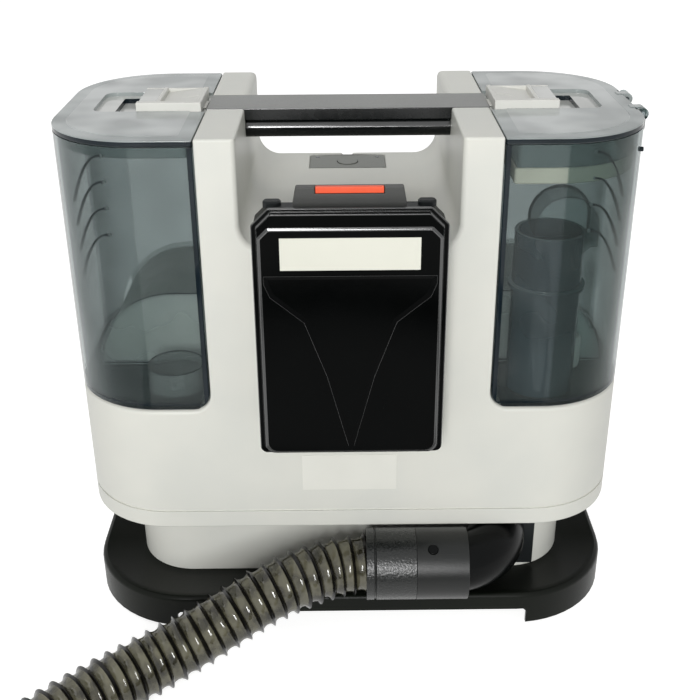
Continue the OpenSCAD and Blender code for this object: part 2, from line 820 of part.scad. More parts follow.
module valve_spring() color("silver") {
    turns = 5;
    steps = 12;
    translate([valve_x, valve_y, spring_z + 0.5])
        swept([for (i = [0:turns * steps]) [4.2 * cos(360 * i / steps), 4.2 * sin(360 * i / steps),
            spring_h * i / (turns * steps)]], 0.4, 5);
}

// ---------------------------------------------------------------- tanks, drawn on the right

module tank_body() {
    difference() {
        slab(tank_floor, rim_top) side_plan(0, tank_in);
        difference() {
            slab(tank_floor + tank_wall, rim_top + 1) side_plan(tank_wall, tank_in + tank_wall);
            hump(tank_gap + tank_wall);
            along_y(front_y, back_y) translate([tank_in + tank_wall - eps, tank_floor + tank_wall - eps])
                corner(window_r - tank_wall);
        }
        hump(tank_gap);
        along_y(front_y - 1, back_y + 1) translate([tank_in - eps, tank_floor - eps]) corner(window_r);
    }
}

module tank_ribs() {
    for (i = [0:3]) intersection() {
        slab(tank_floor, rim_top) difference() {
            side_plan(tank_wall - eps, tank_in + 40);
            side_plan(tank_wall + 1.2, tank_in);
        }
        translate([0, -12, 262 - 26 * i]) rotate([30, 0, 0])
            box(body_w / 2 - 40, body_w / 2, -60, 18, -0.6, 0.6);
    }
}

// Plate with the latch's pocket and slot, and the tongue's way through its edge
module lid_plate() {
    difference() {
        slab(lid_z, body_top) side_plan(0, tank_in);
        box(tank_in - 1, tank_in + pocket_l, -latch_y - seat_gap, latch_y + 5, pocket_z, body_top + 1);
        box(latch_x + latch_l + 2, latch_x + latch_l + 14, -10, 10, lid_z - 1, body_top + 1);
    }
}

module latch() {
    difference() {
        union() {
            box(latch_x, latch_x + latch_l, -latch_y, latch_y, tongue_z, body_top + latch_up);
            box(post_out + 0.9, latch_x + eps, -tongue_y, tongue_y, tongue_z, tongue_z + tongue_t);
        }
        box(latch_x + 3, latch_x + latch_l - 13, -latch_y + 5, latch_y - 3, body_top + 1.5, body_top + 9);
        box(latch_x + 6, latch_x + 17, -9, -8, body_top, body_top + 9);
    }
}

module clean_tank() color(smoke) mirror([1, 0, 0]) {
    difference() {
        tank_body();
        translate([-valve_x, valve_y, 140]) cylinder(r = 9 + seat_gap / 2, h = 20);
    }
    tank_ribs();
}

module clean_lid() color(smoke) mirror([1, 0, 0]) {
    lid_plate();
    difference() {
        slab(lid_z - 7, lid_z + eps) side_plan(tank_wall + 0.6, tank_in + tank_wall + 0.6);
        slab(lid_z - 8, lid_z + 1) side_plan(tank_wall + 2.4, tank_in + tank_wall + 2.4);
    }
}

module clean_latch() color(white) mirror([1, 0, 0]) latch();

// Knuckles round the hinge's axis between two places in Y, on both halves of the hinge
module knuckles(y0, y1) {
    for (m = [0, 1]) mirror([0, m, 0]) translate([pin_x, y1, pin_z]) rotate([90, 0, 0])
        cylinder(r = knuckle_r, h = y1 - y0);
}

module pin_holes(gap) {
    for (m = [0, 1]) mirror([0, m, 0]) translate([pin_x, hinge_y + ear_w + 3, pin_z]) rotate([90, 0, 0])
        cylinder(r = pin_r + gap, h = knuckle_w + ear_w + 6);
}

module dirty_tank() color(smoke) {
    difference() {
        union() {
            tank_body();
            tank_ribs();
            knuckles(hinge_y + 0.4, hinge_y + 0.4 + ear_w);
            for (m = [0, 1]) mirror([0, m, 0])
                box(body_w / 2 - 1, pin_x + 2, hinge_y + 0.4, hinge_y + 0.4 + ear_w, pin_z - 9, pin_z - 1);
        }
        translate([pipe_x, pipe_y, tank_floor - 1]) cylinder(r = pipe_r - 4, h = tank_wall + 2);
        suction_port(post_out, post_out + 6);
        pin_holes(0);
        box(body_w / 2 - tank_wall, pin_x + 5, -hinge_y, hinge_y, pin_z - knuckle_r - 0.5, body_top);
    }
}

module lid_plug(inset, z0, z1) {
    slab(z0, z1) side_plan(inset, tank_in + tank_wall + 3 + inset);
}

module dirty_lid() color(smoke) {
    difference() {
        union() {
            lid_plate();
            lid_plug(tank_wall + 2, lid_z - plug_h, lid_z + eps);
            knuckles(hinge_y - knuckle_w, hinge_y);
            for (m = [0, 1]) mirror([0, m, 0])
                box(body_w / 2 - 4, pin_x, hinge_y - knuckle_w, hinge_y, lid_z, body_top);
        }
        lid_plug(tank_wall + 4, lid_z - plug_h - 1, lid_z - 1);
        pin_holes(run_gap);
        box(latch_x, tank_in + pocket_l + 2, -latch_y - seat_gap, latch_y + 5, lid_z - 4, lid_z - 1);
        box(latch_x + latch_l + 2, latch_x + latch_l + 14, -10, 10, lid_z - 2, body_top + 1);
        for (m = [0, 1]) mirror([0, m, 0])
            box(pin_x - knuckle_r - 0.5, pin_x + 5, hinge_y + 0.1, hinge_y + ear_w + 0.8, lid_z - 1, body_top + 1);
    }
}

module lid_gasket() color("#98978b") {
    difference() {
        lid_plug(tank_wall + 0.5, lid_z - plug_h, lid_z - plug_h + gasket_h);
        lid_plug(tank_wall + 2, lid_z - plug_h - 1, lid_z - plug_h + gasket_h + 1);
    }
}

module hinge_pins() color("silver") {
    for (m = [0, 1]) mirror([0, m, 0]) translate([pin_x, hinge_y + 0.4 + ear_w, pin_z]) rotate([90, 0, 0])
        cylinder(r = pin_r, h = knuckle_w + ear_w + 0.4);
}

module dirty_latch() color(white) latch();

module standpipe() color(smoke) {
    translate([pipe_x, pipe_y, 0]) difference() {
        union() {
            translate([0, 0, tank_floor + tank_wall]) cylinder(r = pipe_r, h = pipe_top - tank_floor - tank_wall);
            translate([0, 0, flange_z]) cylinder(r = pipe_r + flange_t, h = 3);
            translate([0, 0, bay_z - 6]) cylinder(r = pipe_r - 4 - run_gap, h = 12);
        }
        translate([0, 0, bay_z - 10]) cylinder(r = pipe_r - 4 - pipe_wall, h = 300);
        translate([0, 0, tank_floor + tank_wall + 3]) cylinder(r = pipe_r - pipe_wall, h = 300);
    }
}

module hood_outline(inset) {
    r = hood_r - inset;
    translate([0, hood_top - hood_r]) circle(r);
    translate([-r, pipe_top - 7 + inset]) square([2 * r, hood_top - hood_r + 7 - inset - pipe_top]);
}

module deflector_hood() color(smoke) {
    difference() {
        translate([hood_x, 0, 0]) along_y(hood_y, pipe_y + 12) hood_outline(0);
        translate([hood_x, 0, 0]) along_y(hood_y + 2, pipe_y + 13) hood_outline(2);
        translate([pipe_x, pipe_y, pipe_top - 30]) cylinder(r = pipe_r + eps, h = 30);
    }
}

module tank_float() color(white) {
    translate([float_x, float_y, tank_floor + tank_wall + 2]) difference() {
        union() {
            translate([0, 0, 3]) cylinder(r = float_r, h = float_h - 6);
            translate([0, 0, 3]) resize_cap(float_r, 3);
            translate([0, 0, float_h - 3]) resize_cap(float_r, 3);
        }
        translate([0, 0, -1]) cylinder(r = 2 + 0.3, h = float_h + 2);
    }
}

// A flat domed end: a ring of round section with a disc in its middle
module resize_cap(r, e) {
    rotate_extrude() translate([r - e, 0]) circle(e);
    translate([0, 0, -e]) cylinder(r = r - e, h = 2 * e);
}

module float_guide() color(smoke) {
    top = tank_floor + tank_wall + 2 + float_h + float_travel + 4;
    translate([float_x, float_y, tank_floor + tank_wall]) cylinder(r = 2, h = top - tank_floor - tank_wall);
    translate([float_x, float_y, top]) cylinder(r = 4, h = 3);
    translate([float_x, float_y, tank_floor + tank_wall]) cylinder(r = 4, h = 1.7);
}

// ---------------------------------------------------------------- battery

module pack_outline(inset) {
    x = bat_w / 2 - inset;
    z0 = bat_z + inset;
    z1 = bat_z + bat_h - inset;
    polygon([[-x + 4, z0], [x - 4, z0], [x, z0 + 4], [x, z1 - bat_cut], [x - bat_cut, z1],
        [-x + bat_cut, z1], [-x, z1 - bat_cut], [-x, z0 + 4]]);
}

module battery_dock() color(black) {
    box(-neck_x, neck_x, head_y, front_y, rail_z, rail_z + rail_h);
    box(-rail_x, rail_x, head_y - rail_t, head_y, rail_z, rail_z + rail_h);
}

module dock_contacts() color("#c9a23a") {
    for (x = [-20, -8, 8, 20]) box(x - 0.8, x + 0.8, head_y - rail_t + 0.5, head_y - 0.5, rail_z + rail_h,
        rail_z + rail_h + 10);
}

module battery_case() color(black) {
    dock_top = rail_z + rail_h + rail_gap;
    difference() {
        along_y(case_y, bat_back) pack_outline(0);
        difference() {
            along_y(case_y - 1, head_y - rail_t - rail_gap - bat_t) pack_outline(bat_t);
            box(-key_x - rail_gap - 2, key_x + rail_gap + 2, key_y - key_d / 2 - rail_gap - 2, bat_back,
                key_low - key_travel - rail_gap - 2, key_z);
        }
        box(-rail_x - rail_gap, rail_x + rail_gap, head_y - rail_t - rail_gap, head_y + rail_gap,
            bat_z - 1, dock_top);
        box(-neck_x - rail_gap, neck_x + rail_gap, head_y - 1, bat_back + 1, bat_z - 1, dock_top);
        for (x = [-20, -8, 8, 20]) box(x - 1.5, x + 1.5, head_y - rail_t, head_y, dock_top - 1, dock_top + 11);
        box(-key_x - rail_gap, key_x + rail_gap, key_y - key_d / 2 - rail_gap, key_y + key_d / 2 + rail_gap,
            key_low - key_travel - rail_gap, key_z + 1);
    }
}

module battery_cover() color(gloss) {
    difference() {
        union() {
            along_y(case_y - cover_d / 2, case_y) pack_outline(0);
            along_y(cover_y, case_y - cover_d / 2) pack_outline(5);
        }
        along_y(case_y - 2, case_y + 1) pack_outline(bat_t);
        along_y(cover_y - 1, cover_y + 1.2) polygon([[-46, bat_z + 111], [46, bat_z + 111],
            [46, bat_z + 106], [43, bat_z + 99], [25, bat_z + 84], [2, bat_z + 7], [-2, bat_z + 7],
            [-25, bat_z + 84], [-43, bat_z + 99], [-46, bat_z + 106]]);
    }
}

module battery_cells() color("#5b8a72") {
    y = case_y + (head_y - rail_t - rail_gap - bat_t - case_y) / 2;
    for (i = [-2:2], j = [0, 1]) translate([i * (cell_d + 0.6), y, bat_z + bat_t + 1 + j * (cell_l + 1)])
        cylinder(r = cell_d / 2, h = cell_l);
}

module battery_label() color("#f4f4e8") {
    box(-37, 37, cover_y - 0.4, cover_y, bat_z + 114.5, bat_z + 132.5);
}

module battery_key() color("#4a4b4a") {
    difference() {
        along_y(key_y - key_d / 2, key_y + key_d / 2) polygon([[-key_x, key_low], [key_x, key_low],
            [key_x, key_z], [key_x - 1.8, key_z + key_up], [1.8 - key_x, key_z + key_up], [-key_x, key_z]]);
        box(-18.3, 18.3, key_y - key_d / 2 - 1, key_y + 0.3, key_z + key_up - 2.7, key_z + key_up + 1);
    }
}

module key_strip() color("#f2603c") {
    box(-18, 18, key_y - key_d / 2, key_y, key_z + key_up - 2.7, key_z + key_up + 0.3);
}

// ---------------------------------------------------------------- hose port, hose and tool

module port_panel() color(black) {
    difference() {
        box(port_x - 16, port_x + 26, -waist_d / 2, -waist_d / 2 + shell_t, tray_z + 3, skirt_z - seat_gap);
        translate([port_x, -waist_d / 2 + 10, port_z]) rotate([90, 0, 0]) cylinder(r = elbow_r - 3, h = 20);
    }
}

module hose_elbow() color(black) {
    translate([elbow_x, port_y + elbow_bend, port_z]) rotate([0, 0, -90]) rotate_extrude(angle = 90)
        translate([elbow_bend, 0]) difference() {
            circle(elbow_r);
            circle(elbow_r - 2);
        }
    translate([elbow_x - 4, port_y, port_z]) sleeve(elbow_r, 4, elbow_r - 2);
}

// A tube along +X from the origin
module sleeve(r, l, bore) {
    rotate([0, 90, 0]) difference() {
        cylinder(r = r, h = l);
        translate([0, 0, -1]) cylinder(r = bore, h = l + 2);
    }
}

module hose_connector() color(black) {
    translate([socket_x, port_y, port_z]) difference() {
        rotate([0, 90, 0]) cylinder(r = cuff_r, h = socket_l);
        rotate([0, 90, 0]) translate([0, 0, -1]) cylinder(r = elbow_r - 3, h = socket_l + 2);
        rotate([0, 90, 0]) translate([0, 0, 16]) cylinder(r = elbow_r, h = 10);
        rotate([0, 90, 0]) translate([0, 0, 20]) cylinder(r = cuff_r - 1.2, h = 20);
        translate([10, 0, 0]) rotate([32, 0, 0]) translate([0, 0, elbow_r]) cylinder(r = 3.2, h = 30);
        translate([elbow_x - socket_x, elbow_bend, 0]) rotate([0, 0, -90]) rotate_extrude(angle = 90)
            translate([elbow_bend, 0]) circle(elbow_r + seat_gap);
    }
}

module release_button() color("#26292b") {
    translate([socket_x + 10, port_y, port_z]) rotate([32, 0, 0]) translate([0, 0, elbow_r + 1.5])
        cylinder(r = 3, h = cuff_r - elbow_r - 1.1);
}

module hose_cuff() color(black) {
    translate([cuff_x, port_y, port_z]) difference() {
        sleeve(cuff_r, cuff_l, hose_r + hose_fit);
        translate([5, 0, 0]) rotate([0, 90, 0]) difference() {
            cylinder(r = cuff_r + 1, h = 1);
            translate([0, 0, -1]) cylinder(r = cuff_r - 0.8, h = 3);
        }
    }
    translate([cuff_x + 8, port_y, port_z]) sleeve(hose_r + hose_fit + eps, cuff_l - 8, hose_r - 3);
}

module hose_lead() color("#54595a") swept(hose_route, hose_r, 12);

module hose_coil() color("#54595a") {
    translate([loop_x, loop_y, hose_r]) rotate([0, 0, 180]) rotate_extrude(angle = 180)
        translate([loop_r, 0]) circle(hose_r);
    translate([tool_x, loop_y, hose_r]) rotate_extrude(angle = 90) translate([tail_r, 0]) circle(hose_r);
}

module tool_cuff() color(black) {
    translate([tool_x - 34, tool_y, tool_z]) sleeve(cuff_r, 34, 14);
}

handle_l = 92;
handle_r = 19;
nozzle_x = tool_x - 34 - handle_l;
nozzle_l = 58;
trigger_x = tool_x - 44;
trigger_z = tool_z + handle_r + 3.6;

module tool_body() color("#d5d6d0") {
    difference() {
        union() {
            translate([nozzle_x, tool_y, tool_z]) rotate([0, 90, 0]) rotate_extrude()
                polygon([[0, -10], [16, -10], [17, 0], [16.5, 40], [handle_r, handle_l - 8],
                    [handle_r, handle_l], [0, handle_l]]);
            slab(9, 27) translate([nozzle_x, tool_y]) polygon([[6, -16], [6, 16], [-12, 20],
                [-nozzle_l + 8, 43], [-nozzle_l, 43], [-nozzle_l, -43], [-nozzle_l + 8, -43], [-12, -20]]);
            for (y = [-1, 1]) translate([trigger_x, tool_y + y * 9, 0])
                box(-4, 4, -1.5, 1.5, tool_z + 12, trigger_z + 3);
        }
        translate([nozzle_x - 4, tool_y, tool_z]) rotate([0, 90, 0]) cylinder(r = 12, h = handle_l + 14);
        slab(12, 24) translate([nozzle_x, tool_y]) polygon([[0, -12], [0, 12], [-nozzle_l + 9, 36],
            [-nozzle_l + 9, -36]]);
        box(nozzle_x - nozzle_l + 1, nozzle_x - nozzle_l + 7, tool_y - 38, tool_y + 38, 8, 16);
        box(nozzle_x - nozzle_l + 9, nozzle_x - nozzle_l + 15, tool_y - 36, tool_y + 36, 8, 13);
        translate([trigger_x, tool_y + 20, trigger_z]) rotate([90, 0, 0]) cylinder(r = pin_r + run_gap, h = 40);
    }
}

module tool_trigger() color(black) {
    translate([trigger_x, tool_y, trigger_z]) {
        rotate([90, 0, 0]) translate([0, 0, -10.5]) cylinder(r = pin_r, h = 21);
        rotate([90, 0, 0]) translate([0, 0, -7]) cylinder(r = 3, h = 14);
        box(-44, 0, -6, 6, 0.6, 4);
        box(-44, -40, -6, 6, 0.6, 7);
    }
}

module tool_brush() color("#303436") {
    x = nozzle_x - nozzle_l + 4;
    box(x - 3, x + 3, tool_y - 38, tool_y + 38, 13, 16);
    for (i = [-8:8]) translate([x, tool_y + 4.4 * i, 0.2]) cylinder(r = 1.6, h = 13);
}

module rating_label() color("#ecece6") {
    box(-30, 28, front_y - 0.3, front_y, 94, 119);
}

base_tray();
rubber_feet();
waist_shell();
bottom_plate();
housing_front();
housing_rear();
housing_screws();
handle_grip();
handle_cover();
control_panel();
power_button();
panel_lamps();
control_board();
suction_motor();
motor_bracket();
impeller();
fan_housing();
suction_duct();
recovery_duct();
exhaust_grille();
water_pump();
pump_inlet_tube();
pump_outlet_tube();
battery_dock();
dock_contacts();
battery_case();
battery_cover();
battery_cells();
battery_label();
battery_key();
key_strip();
clean_tank();
clean_lid();
clean_latch();
valve_cap();
valve_plunger();
valve_spring();
valve_socket();
dirty_tank();
dirty_lid();
lid_gasket();
hinge_pins();
dirty_latch();
standpipe();
deflector_hood();
tank_float();
float_guide();
port_panel();
hose_elbow();
hose_connector();
release_button();
hose_cuff();
hose_lead();
hose_coil();
tool_cuff();
tool_body();
tool_trigger();
tool_brush();
rating_label();
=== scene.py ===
"""A portable carpet and upholstery cleaner with its visible finish: a battery machine on a tray base,
with a clean-water tank, a recovery tank, a carry handle, a battery pack and a suction hose."""
import json
import math

import bmesh
import bpy
from mathutils import Matrix, Vector


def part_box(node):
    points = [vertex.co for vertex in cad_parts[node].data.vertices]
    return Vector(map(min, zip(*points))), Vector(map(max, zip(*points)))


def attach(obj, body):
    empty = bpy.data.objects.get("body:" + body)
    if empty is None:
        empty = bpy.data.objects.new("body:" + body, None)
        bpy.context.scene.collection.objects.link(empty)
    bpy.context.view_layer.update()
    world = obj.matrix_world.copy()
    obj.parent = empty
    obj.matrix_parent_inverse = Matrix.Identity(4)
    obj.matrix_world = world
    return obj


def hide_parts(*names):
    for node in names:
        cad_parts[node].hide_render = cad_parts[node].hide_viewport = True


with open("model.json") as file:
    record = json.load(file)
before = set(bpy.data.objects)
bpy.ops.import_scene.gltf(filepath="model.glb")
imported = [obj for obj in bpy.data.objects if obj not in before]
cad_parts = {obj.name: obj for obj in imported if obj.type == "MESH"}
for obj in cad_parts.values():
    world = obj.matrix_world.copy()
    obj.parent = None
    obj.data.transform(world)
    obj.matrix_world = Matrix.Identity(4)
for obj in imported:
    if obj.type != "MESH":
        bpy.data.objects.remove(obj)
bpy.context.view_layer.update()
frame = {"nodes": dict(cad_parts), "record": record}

MM = 0.001
RECORD = frame["record"]
BODY_OF = {node: body for body, nodes in RECORD["behaviour"]["bodies"].items() for node in nodes}

# The machine's main sizes in mm, from its middle: they match the solids
HALF_WIDTH, HALF_DEPTH = 170, 86
CORNER_X, CORNER_Y, CORNER_R = 115, 31, 55      # the housing's upright corners: their middle and radius
POST_SIDE = 84                                  # the middle post, which the tanks stand beside
LEDGE_Z = 151                                   # the ledge under the tanks
WALL = 2.4                                      # the tanks' wall


# ---------------- camera

def placed(name, data):
    """A new object in the scene."""
    thing = bpy.data.objects.new(name, data)
    bpy.context.collection.objects.link(thing)
    return thing


def aim_camera():
    """A long lens a little above the machine, looking down at its front."""
    stand = Vector((-4.1, -645.8, 466.6)) * MM
    pitch, yaw, roll = 0.458, -0.007, -0.006
    camera = bpy.data.cameras.new("camera")
    camera.lens = 55.03
    camera.sensor_width = 36
    camera.clip_start = 0.02
    turn = (Matrix.Rotation(yaw, 4, "Z") @ Matrix.Rotation(math.pi / 2 - pitch, 4, "X")
            @ Matrix.Rotation(roll, 4, "Z"))
    seat = placed("camera", camera)
    seat.matrix_world = Matrix.Translation(stand) @ turn
    bpy.context.scene.camera = seat


# ---------------- finishes

def linear(code):
    """A colour written as sRGB hex, as the linear numbers a shader takes."""
    parts = [int(code[i:i + 2], 16) / 255 for i in (1, 3, 5)]
    return tuple(c / 12.92 if c <= 0.04045 else ((c + 0.055) / 1.055) ** 2.4 for c in parts) + (1.0,)


def add(tree, kind, wires=None, **settings):
    """One node of a finish, with its settings, and each input set to a number or wired to an output."""
    made = tree.nodes.new(kind)
    for name, value in settings.items():
        setattr(made, name, value)
    for name, value in (wires or {}).items():
        if isinstance(value, bpy.types.NodeSocket):
            tree.links.new(value, made.inputs[name])
        else:
            made.inputs[name].default_value = value
    return made


def blank(name):
    """An empty finish and its tree, with where on the piece we are, in metres."""
    finish = bpy.data.materials.new(name)
    finish.use_nodes = True
    tree = finish.node_tree
    tree.nodes.clear()
    return finish, tree, add(tree, "ShaderNodeTexCoord").outputs["Object"]


# As the resin fills a mould it leaves slow patches of a slightly other shade, a hand's breadth apart
FLOW_MM = 55


def moulded(name, colour, shade, rough, grain_mm, depth_mm, gloss):
    """An injection-moulded plastic: flow patches that shade it, and the mould's grain, which breaks up
    its highlights and makes its gloss uneven. Grain and depth are in mm."""
    finish, tree, here = blank(name)
    patches = add(tree, "ShaderNodeTexNoise", {"Vector": here, "Scale": 1 / (FLOW_MM * MM), "Detail": 3.0})
    tone = add(tree, "ShaderNodeMapRange", {
        "Value": patches.outputs["Fac"], "From Min": 0.35, "From Max": 0.65})
    colours = add(tree, "ShaderNodeMix", {
        "Factor": tone.outputs["Result"], "A": linear(colour), "B": linear(shade)}, data_type="RGBA")
    grain = add(tree, "ShaderNodeTexNoise", {"Vector": here, "Scale": 1 / (grain_mm * MM), "Detail": 2.0})
    uneven = add(tree, "ShaderNodeMapRange", {
        "Value": grain.outputs["Fac"], "From Min": 0.3, "From Max": 0.7,
        "To Min": rough * 0.85, "To Max": rough * 1.15})
    relief = add(tree, "ShaderNodeBump", {
        "Height": grain.outputs["Fac"], "Strength": 1.0, "Distance": depth_mm * MM})
    surface = add(tree, "ShaderNodeBsdfPrincipled", {
        "Base Color": colours.outputs["Result"], "Roughness": uneven.outputs["Result"], "IOR": 1.5,
        "Specular IOR Level": gloss, "Normal": relief.outputs["Normal"]})
    add(tree, "ShaderNodeOutputMaterial", {"Surface": surface.outputs["BSDF"]})
    return finish


# A moulded clear wall is very slightly wavy, about a thumb's width from wave to wave
WAVE_MM = 30


def smoke(name, deep, tint, veil, edge, rim=None, outline=None, gloss=0.5):
    """Smoke-tinted polycarbonate. Looked at squarely it is clear; a ray that runs along the wall goes
    through more of the tint, so it darkens. Where a rim colour is given, a round wall turns pale again
    near its outline, as light comes round inside it, and an outline colour closes it in a dark line.
    Veil and edge say how much of the wall's own colour covers what is behind it, squarely and aslant."""
    finish, tree, here = blank(name)
    slant = add(tree, "ShaderNodeLayerWeight", {"Blend": 0.5}).outputs["Facing"]
    thick = add(tree, "ShaderNodeMapRange", {
        "Value": slant, "From Min": 0.2, "From Max": 0.7, "To Min": veil, "To Max": edge},
        interpolation_type="SMOOTHSTEP")
    flow = add(tree, "ShaderNodeTexNoise", {"Vector": here, "Scale": 1 / (WAVE_MM * MM), "Detail": 1.0})
    clouds = add(tree, "ShaderNodeMapRange", {
        "Value": flow.outputs["Fac"], "From Min": 0.35, "From Max": 0.65, "To Min": 0.85, "To Max": 1.15})
    share = add(tree, "ShaderNodeMath", {0: thick.outputs["Result"], 1: clouds.outputs["Result"]},
                operation="MULTIPLY", use_clamp=True)
    past = add(tree, "ShaderNodeMapRange", {"Value": slant, "From Min": 0.6, "From Max": 0.74})
    colour = add(tree, "ShaderNodeMix", {
        "Factor": past.outputs["Result"], "A": linear(deep), "B": linear(rim or deep)}, data_type="RGBA")
    line = add(tree, "ShaderNodeMapRange", {
        "Value": slant, "From Min": 0.79, "From Max": 0.82, "To Max": 0.95 if outline else 0})
    share = add(tree, "ShaderNodeMath", {0: share.outputs[0], 1: line.outputs["Result"]},
                operation="MAXIMUM")
    colour = add(tree, "ShaderNodeMix", {
        "Factor": line.outputs["Result"], "A": colour.outputs["Result"], "B": linear(outline or deep)},
        data_type="RGBA")
    ripple = add(tree, "ShaderNodeBump", {
        "Height": flow.outputs["Fac"], "Strength": 0.2, "Distance": 0.4 * MM})
    clear = add(tree, "ShaderNodeBsdfTransparent", {"Color": linear(tint)})
    body = add(tree, "ShaderNodeBsdfPrincipled", {
        "Base Color": colour.outputs["Result"], "Roughness": 0.08, "IOR": 1.58,
        "Specular IOR Level": gloss, "Normal": ripple.outputs["Normal"]})
    mixed = add(tree, "ShaderNodeMixShader", {
        0: share.outputs[0], 1: clear.outputs["BSDF"], 2: body.outputs["BSDF"]})
    add(tree, "ShaderNodeOutputMaterial", {"Surface": mixed.outputs["Shader"]})
    return finish


def metal(name, colour, rough, grain_mm):
    """A machined or cast metal: fine marks in its surface blur its reflection unevenly."""
    finish, tree, here = blank(name)
    marks = add(tree, "ShaderNodeTexNoise", {"Vector": here, "Scale": 1 / (grain_mm * MM), "Detail": 3.0})
    uneven = add(tree, "ShaderNodeMapRange", {
        "Value": marks.outputs["Fac"], "To Min": rough * 0.7, "To Max": rough * 1.3})
    relief = add(tree, "ShaderNodeBump", {
        "Height": marks.outputs["Fac"], "Strength": 0.4, "Distance": 0.02 * MM})
    surface = add(tree, "ShaderNodeBsdfPrincipled", {
        "Base Color": linear(colour), "Metallic": 1.0, "Roughness": uneven.outputs["Result"],
        "Normal": relief.outputs["Normal"]})
    add(tree, "ShaderNodeOutputMaterial", {"Surface": surface.outputs["BSDF"]})
    return finish


def hose_web():
    """Clear smoke PVC stretched between the ridges: an olive-grey film that lets the far wall through,
    with a wet-looking shine that its thick and thin places, 11 mm apart, break up."""
    finish, tree, here = blank("pvc_web")
    cloud = add(tree, "ShaderNodeTexNoise", {"Vector": here, "Scale": 1 / (11 * MM), "Detail": 2.0})
    tone = add(tree, "ShaderNodeMapRange", {
        "Value": cloud.outputs["Fac"], "From Min": 0.38, "From Max": 0.62})
    colours = add(tree, "ShaderNodeMix", {
        "Factor": tone.outputs["Result"], "A": linear("#7A7763"), "B": linear("#3A382D")},
        data_type="RGBA")
    relief = add(tree, "ShaderNodeBump", {
        "Height": cloud.outputs["Fac"], "Strength": 0.5, "Distance": 0.6 * MM})
    clear = add(tree, "ShaderNodeBsdfTransparent", {"Color": linear("#A09E8C")})
    film = add(tree, "ShaderNodeBsdfPrincipled", {
        "Base Color": colours.outputs["Result"], "Roughness": 0.07, "IOR": 1.53,
        "Specular IOR Level": 0.8, "Normal": relief.outputs["Normal"]})
    mixed = add(tree, "ShaderNodeMixShader", {0: 0.62, 1: clear.outputs["BSDF"], 2: film.outputs["BSDF"]})
    add(tree, "ShaderNodeOutputMaterial", {"Surface": mixed.outputs["Shader"]})
    return finish


